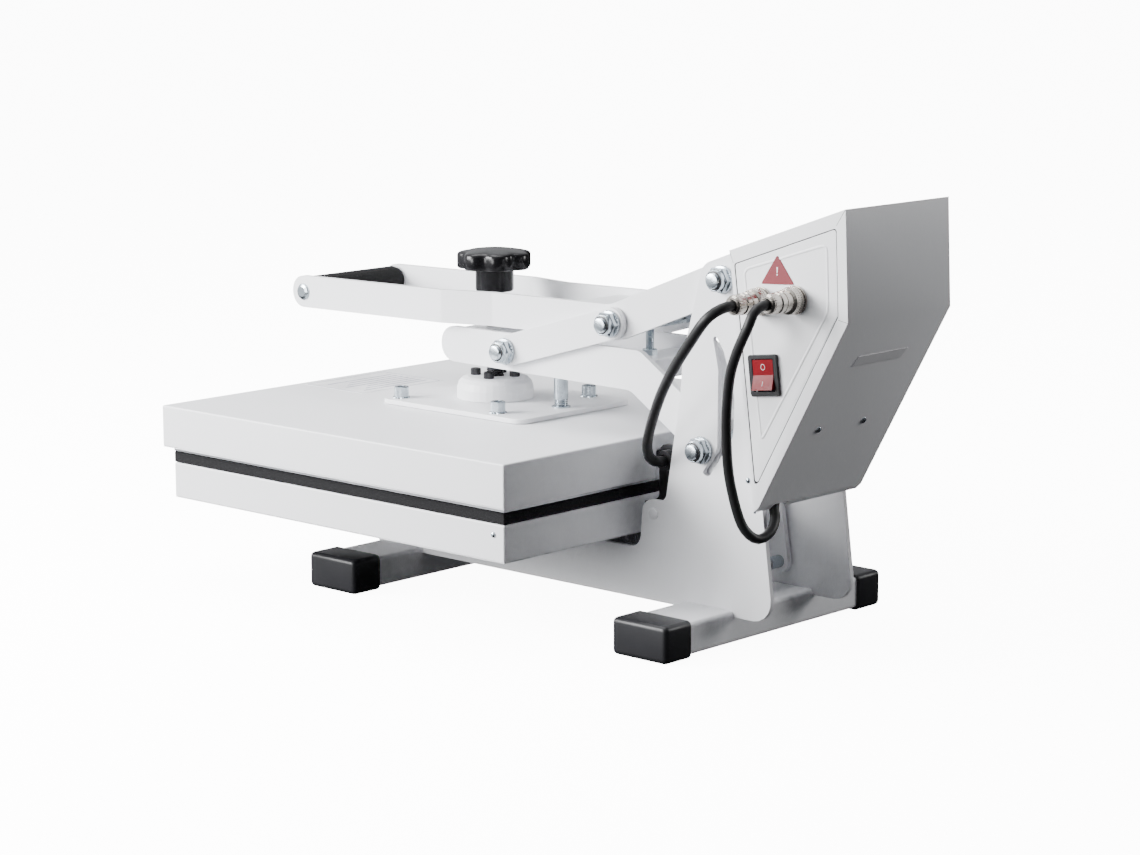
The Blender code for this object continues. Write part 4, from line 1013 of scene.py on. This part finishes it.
def hull(points):
    """Convex outline of (Y, height) points, anticlockwise."""
    points = sorted(set(points))

    def chain(ordered):
        made = []
        for p in ordered:
            while len(made) > 1 and (
                (made[-1][0] - made[-2][0]) * (p[1] - made[-2][1])
                - (made[-1][1] - made[-2][1]) * (p[0] - made[-2][0])
            ) <= 0:
                made.pop()
            made.append(p)
        return made[:-1]

    return chain(points) + chain(points[::-1])


def add_panel_gap(name, side):
    """The dark gap between a raised panel field and the rim around it."""
    node = NODES[f"side_panel_{name}"]
    field = BOX_FACE - 0.0001
    corners = [v.co - ORIGIN for v in node.data.vertices if abs(v.co.x - ORIGIN.x) > field]
    outline = hull([(round(p.y, 5), round(p.z, 5)) for p in corners])
    middle = Vector((sum(p[0] for p in outline), sum(p[1] for p in outline))) / len(outline)
    wider = [Vector(p) + (Vector(p) - middle).normalized() * 0.0004 for p in outline]
    shape = bmesh.new()
    tube_into(shape, [at(side * field, *p) for p in (*wider, wider[0])], 0.00034, 6)
    from_bmesh(f"panel_gap_{name}", shape, "base", BLACK, 60)


# Turned profiles of (radius, reach from the panel, tooth depth).
PANEL_NUT = (
    (0.0070, 0.0003), (0.0104, 0.0003), (0.0106, 0.0006), (0.0106, 0.0018), (0.0103, 0.0022),
    (0.0070, 0.0022),
)
COUPLING_RING = (
    (0.0070, 0.0027), (0.0098, 0.0027), (0.0102, 0.0030, 0.0005), (0.0102, 0.0052, 0.0005),
    (0.0096, 0.0054), (0.0096, 0.0060), (0.0102, 0.0062, 0.0005), (0.0102, 0.0084, 0.0005),
    (0.0097, 0.0090), (0.0084, 0.0094), (0.0070, 0.0094),
)
PLUG_BAND = (
    (0.0070, 0.0170), (0.0083, 0.0170), (0.0084, 0.0174), (0.0084, 0.0184), (0.0083, 0.0188),
    (0.0070, 0.0188),
)
CLAMP_NUT = (
    (0.0055, 0.0262), (0.0073, 0.0262), (0.0076, 0.0266, 0.0004), (0.0076, 0.0318, 0.0004),
    (0.0072, 0.0323), (0.0055, 0.0323),
)


def add_connector_rings():
    """Nuts on the panel, and the coupling rings, bands and clamp nuts of the two cable plugs."""
    for i, socket in enumerate(SOCKETS):
        place = across(BOX_FACE, *socket)
        shape = bmesh.new()
        lathe_into(shape, PANEL_NUT, place, 36)
        lathe_into(shape, COUPLING_RING, place, 144, 36)
        lathe_into(shape, PLUG_BAND, place, 32)
        lathe_into(shape, CLAMP_NUT, place, 96, 24)
        from_bmesh(f"connector_rings_{i + 1}", shape, "base", NICKEL, 30)


def bevel_edges(shape, edges, offset, segments):
    bmesh.ops.bevel(shape, geom=edges, offset=offset, segments=segments, profile=0.5, affect="EDGES")


def add_end_cap(name, side):
    """Moulded plastic cap with soft corners, pushed over the end of a foot tube."""
    low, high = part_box(name)
    shape = bmesh.new()
    bmesh.ops.create_cube(shape, size=1.0)
    size, middle = high - low, (high + low) / 2
    for v in shape.verts:
        v.co = middle + Vector((v.co.x * size.x, v.co.y * size.y, v.co.z * size.z))
    inner_x = low.x if side > 0 else high.x
    outer = [e for e in shape.edges if any(abs(v.co.x - inner_x) > 1e-5 for v in e.verts)]
    bevel_edges(shape, outer, 0.0042, 5)
    rim = [e for e in shape.edges if all(abs(v.co.x - inner_x) < 1e-5 for v in e.verts)]
    bevel_edges(shape, rim, 0.0007, 2)
    made = from_bmesh(f"{name}_moulding", shape, "base", BLACK, 50)
    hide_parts(name)


for along in ("front", "rear"):
    for name, side in (("left", -1), ("right", 1)):
        add_end_cap(f"end_cap_{along}_{name}", side)

add_panel_gap("right", 1)
add_panel_gap("left", -1)
add_connector_rings()
add_beads("right", 1)
add_beads("left", -1)
add_triangle()
add_rocker_marks()
add_display()
add_keys()
add_rear_details()
add_seams()


# ---------------------------------------------------------------- small fittings
TRAY_HALF = 0.1901
RIVETS = (  # X, Y, height and radius
    (BASE_HALF, 0.1150, 0.0170, 0.0022),
    (BASE_HALF, 0.1215, -0.0065, 0.0012),
    (TRAY_HALF, -0.0170, -0.0215, 0.0022),
)
HOLE_PLUG = (0.0210, -0.0217)
HOLE_PLUG_PROFILE = ((0.0046, 0.0), (0.0045, 0.0006), (0.0038, 0.0010), (0, 0.0012))
GRIP_END = (0.0570, -0.3697, 0.1178)
GRIP_SCREW_PROFILE = (
    (0.0070, 0.0), (0.0069, 0.0009), (0.0058, 0.0018), (0.0036, 0.0022), (0.0028, 0.0022),
    (0.0026, 0.0008), (0, 0.0007),
)


def rivet_into(shape, place, radius):
    """Domed head with a small round dimple."""
    shares = ((1, 0), (0.96, 0.3), (0.6, 0.62), (0.34, 0.68), (0.26, 0.3), (0, 0.26))
    lathe_into(shape, [(radius * r, radius * height) for r, height in shares], place, 20)


def add_fittings():
    """Rivets and hole plugs in the side plates, and a rivet in each side of the tray."""
    rivets, plugs = bmesh.new(), bmesh.new()
    for side in (1, -1):
        for x, y, height, radius in RIVETS:
            rivet_into(rivets, across(side * x, y, height, side), radius)
        lathe_into(plugs, HOLE_PLUG_PROFILE, across(side * BASE_HALF, *HOLE_PLUG, side), 28)
    from_bmesh("plate_rivets", rivets, "base", ZINC, 35)
    # The hole plugs take the darker copy of the white paint: painted shade.
    from_bmesh("hole_plugs", plugs, "base", SHADED_WHITE, 35)


def add_grip_ends():
    shape = bmesh.new()
    x, y, height = GRIP_END
    for side in (1, -1):
        lathe_into(shape, GRIP_SCREW_PROFILE, across(side * x, y, height, side), 32)
    from_bmesh("grip_screws", shape, "lever", ZINC, 30)


STICKER_X = (-0.0500, 0.0450)
STICKER_Y = (-0.3840, -0.3100)
STICKER_MARGIN = 0.002


def add_sticker():
    """A sheet with a frame and blank rules on the cover's top."""
    (left, right), (low, high) = STICKER_X, STICKER_Y
    flat = upright(0, 0)
    paper, ink = bmesh.new(), bmesh.new()

    def bar(shape, x, y, foot, top):
        outline = [(x[0], y[0]), (x[1], y[0]), (x[1], y[1]), (x[0], y[1])]
        prism_into(shape, outline, COVER_H + foot, COVER_H + top, flat)

    def rule(x, y):
        bar(ink, x, y, 0.0001, 0.00018)

    bar(paper, STICKER_X, STICKER_Y, 0.0, 0.00012)
    from_bmesh("cover_sticker", paper, "head", LABEL, 50)
    for y in (low + STICKER_MARGIN, high - STICKER_MARGIN):
        rule((left + STICKER_MARGIN, right - STICKER_MARGIN), (y - 0.0002, y + 0.0002))
    for x in (left + STICKER_MARGIN, right - STICKER_MARGIN):
        rule((x - 0.0002, x + 0.0002), (low + STICKER_MARGIN, high - STICKER_MARGIN))
    for k in range(7):
        y = high - 0.012 - 0.0075 * k
        rule((left + 0.008, right - 0.012 - 0.009 * (k % 3)), (y - 0.0006, y + 0.0006))
    from_bmesh("sticker_rules", ink, "head", LABEL_INK, 50)


add_fittings()
add_grip_ends()
add_sticker()


# ---------------------------------------------------------------- stage
FLOOR_COLOUR = (0.86, 0.86, 0.865)
FLOOR_GLOW = 11.0


def add_floor():
    """White floor that meets the backdrop without an edge. The machine isn't lit by it."""
    made = Shader("floor", FLOOR_COLOUR, 0.8)
    made.tint(made.noise(3.0, 2.0), shades(FLOOR_COLOUR, 0.01))
    made.out.inputs["Emission Color"].default_value = (1.0, 1.0, 1.0, 1)
    made.out.inputs["Emission Strength"].default_value = FLOOR_GLOW
    shape = bmesh.new()
    bmesh.ops.create_grid(shape, x_segments=1, y_segments=1, size=30.0)
    mesh = bpy.data.meshes.new("floor")
    shape.to_mesh(mesh)
    shape.free()
    floor = bpy.data.objects.new("floor", mesh)
    floor.location.z = -0.0002
    floor.visible_diffuse = False
    floor.visible_glossy = False
    mesh.materials.append(made.material)
    bpy.context.scene.collection.objects.link(floor)


def add_light(name, place, target, size, power):
    data = bpy.data.lights.new(name, "AREA")
    data.shape = "RECTANGLE"
    data.size, data.size_y = size
    data.energy = power
    light = bpy.data.objects.new(name, data)
    bpy.context.scene.collection.objects.link(light)
    light.location = place
    light.rotation_euler = (Vector(target) - Vector(place)).to_track_quat("-Z", "Y").to_euler()


BRIGHT_SIDE = (0.10, -0.22, 0.28)
BRIGHT_REACH = 0.37  # its length
AMBIENT = (  # from the dark side of the room to the bright one
    (0.0, (0.03, 0.03, 0.032)),
    (0.45, (0.06, 0.06, 0.063)),
    (0.58, (0.19, 0.193, 0.20)),
    (0.75, (0.90, 0.91, 0.94)),
    (1.0, (1.25, 1.27, 1.3)),
)
BACKDROP = 6.0
LIGHTS = (  # name, place, target, size and power
    ("key", (1.25, -1.05, 0.80), (0.05, -0.15, 0.15), (0.9, 0.8), 98),
    ("top", (0.0, -0.6, 2.4), (0, -0.05, 0.1), (1.6, 1.6), 44),
    ("rear", (-1.4, 1.4, 0.75), (0, 0.2, 0.2), (0.7, 0.7), 20),
    ("fill", (1.7, -0.3, 0.34), (0, 0, 0.10), (0.8, 0.4), 16),
)


def add_world():
    """White backdrop for the camera, and a soft room that is darker behind the machine and below."""
    world = bpy.data.worlds.new("studio")
    world.use_nodes = True
    nodes, links = world.node_tree.nodes, world.node_tree.links
    room = nodes["Background"]
    place = nodes.new("ShaderNodeTexCoord")
    lean = nodes.new("ShaderNodeVectorMath")
    lean.operation = "DOT_PRODUCT"
    lean.inputs[1].default_value = BRIGHT_SIDE
    links.new(place.outputs["Generated"], lean.inputs[0])
    spread = nodes.new("ShaderNodeMapRange")
    spread.inputs["From Min"].default_value = -BRIGHT_REACH
    spread.inputs["From Max"].default_value = BRIGHT_REACH
    links.new(lean.outputs["Value"], spread.inputs["Value"])
    ramp = nodes.new("ShaderNodeValToRGB")
    set_stops(ramp.color_ramp, AMBIENT)
    links.new(spread.outputs["Result"], ramp.inputs["Fac"])
    links.new(ramp.outputs["Color"], room.inputs["Color"])
    room.inputs["Strength"].default_value = 1.0
    bright = nodes.new("ShaderNodeBackground")
    bright.inputs["Strength"].default_value = BACKDROP
    rays = nodes.new("ShaderNodeLightPath")
    mix = nodes.new("ShaderNodeMixShader")
    links.new(rays.outputs["Is Camera Ray"], mix.inputs["Fac"])
    links.new(room.outputs["Background"], mix.inputs[1])
    links.new(bright.outputs["Background"], mix.inputs[2])
    links.new(mix.outputs["Shader"], nodes["World Output"].inputs["Surface"])
    bpy.context.scene.world = world


add_floor()
add_world()
for light in LIGHTS:
    add_light(*light)
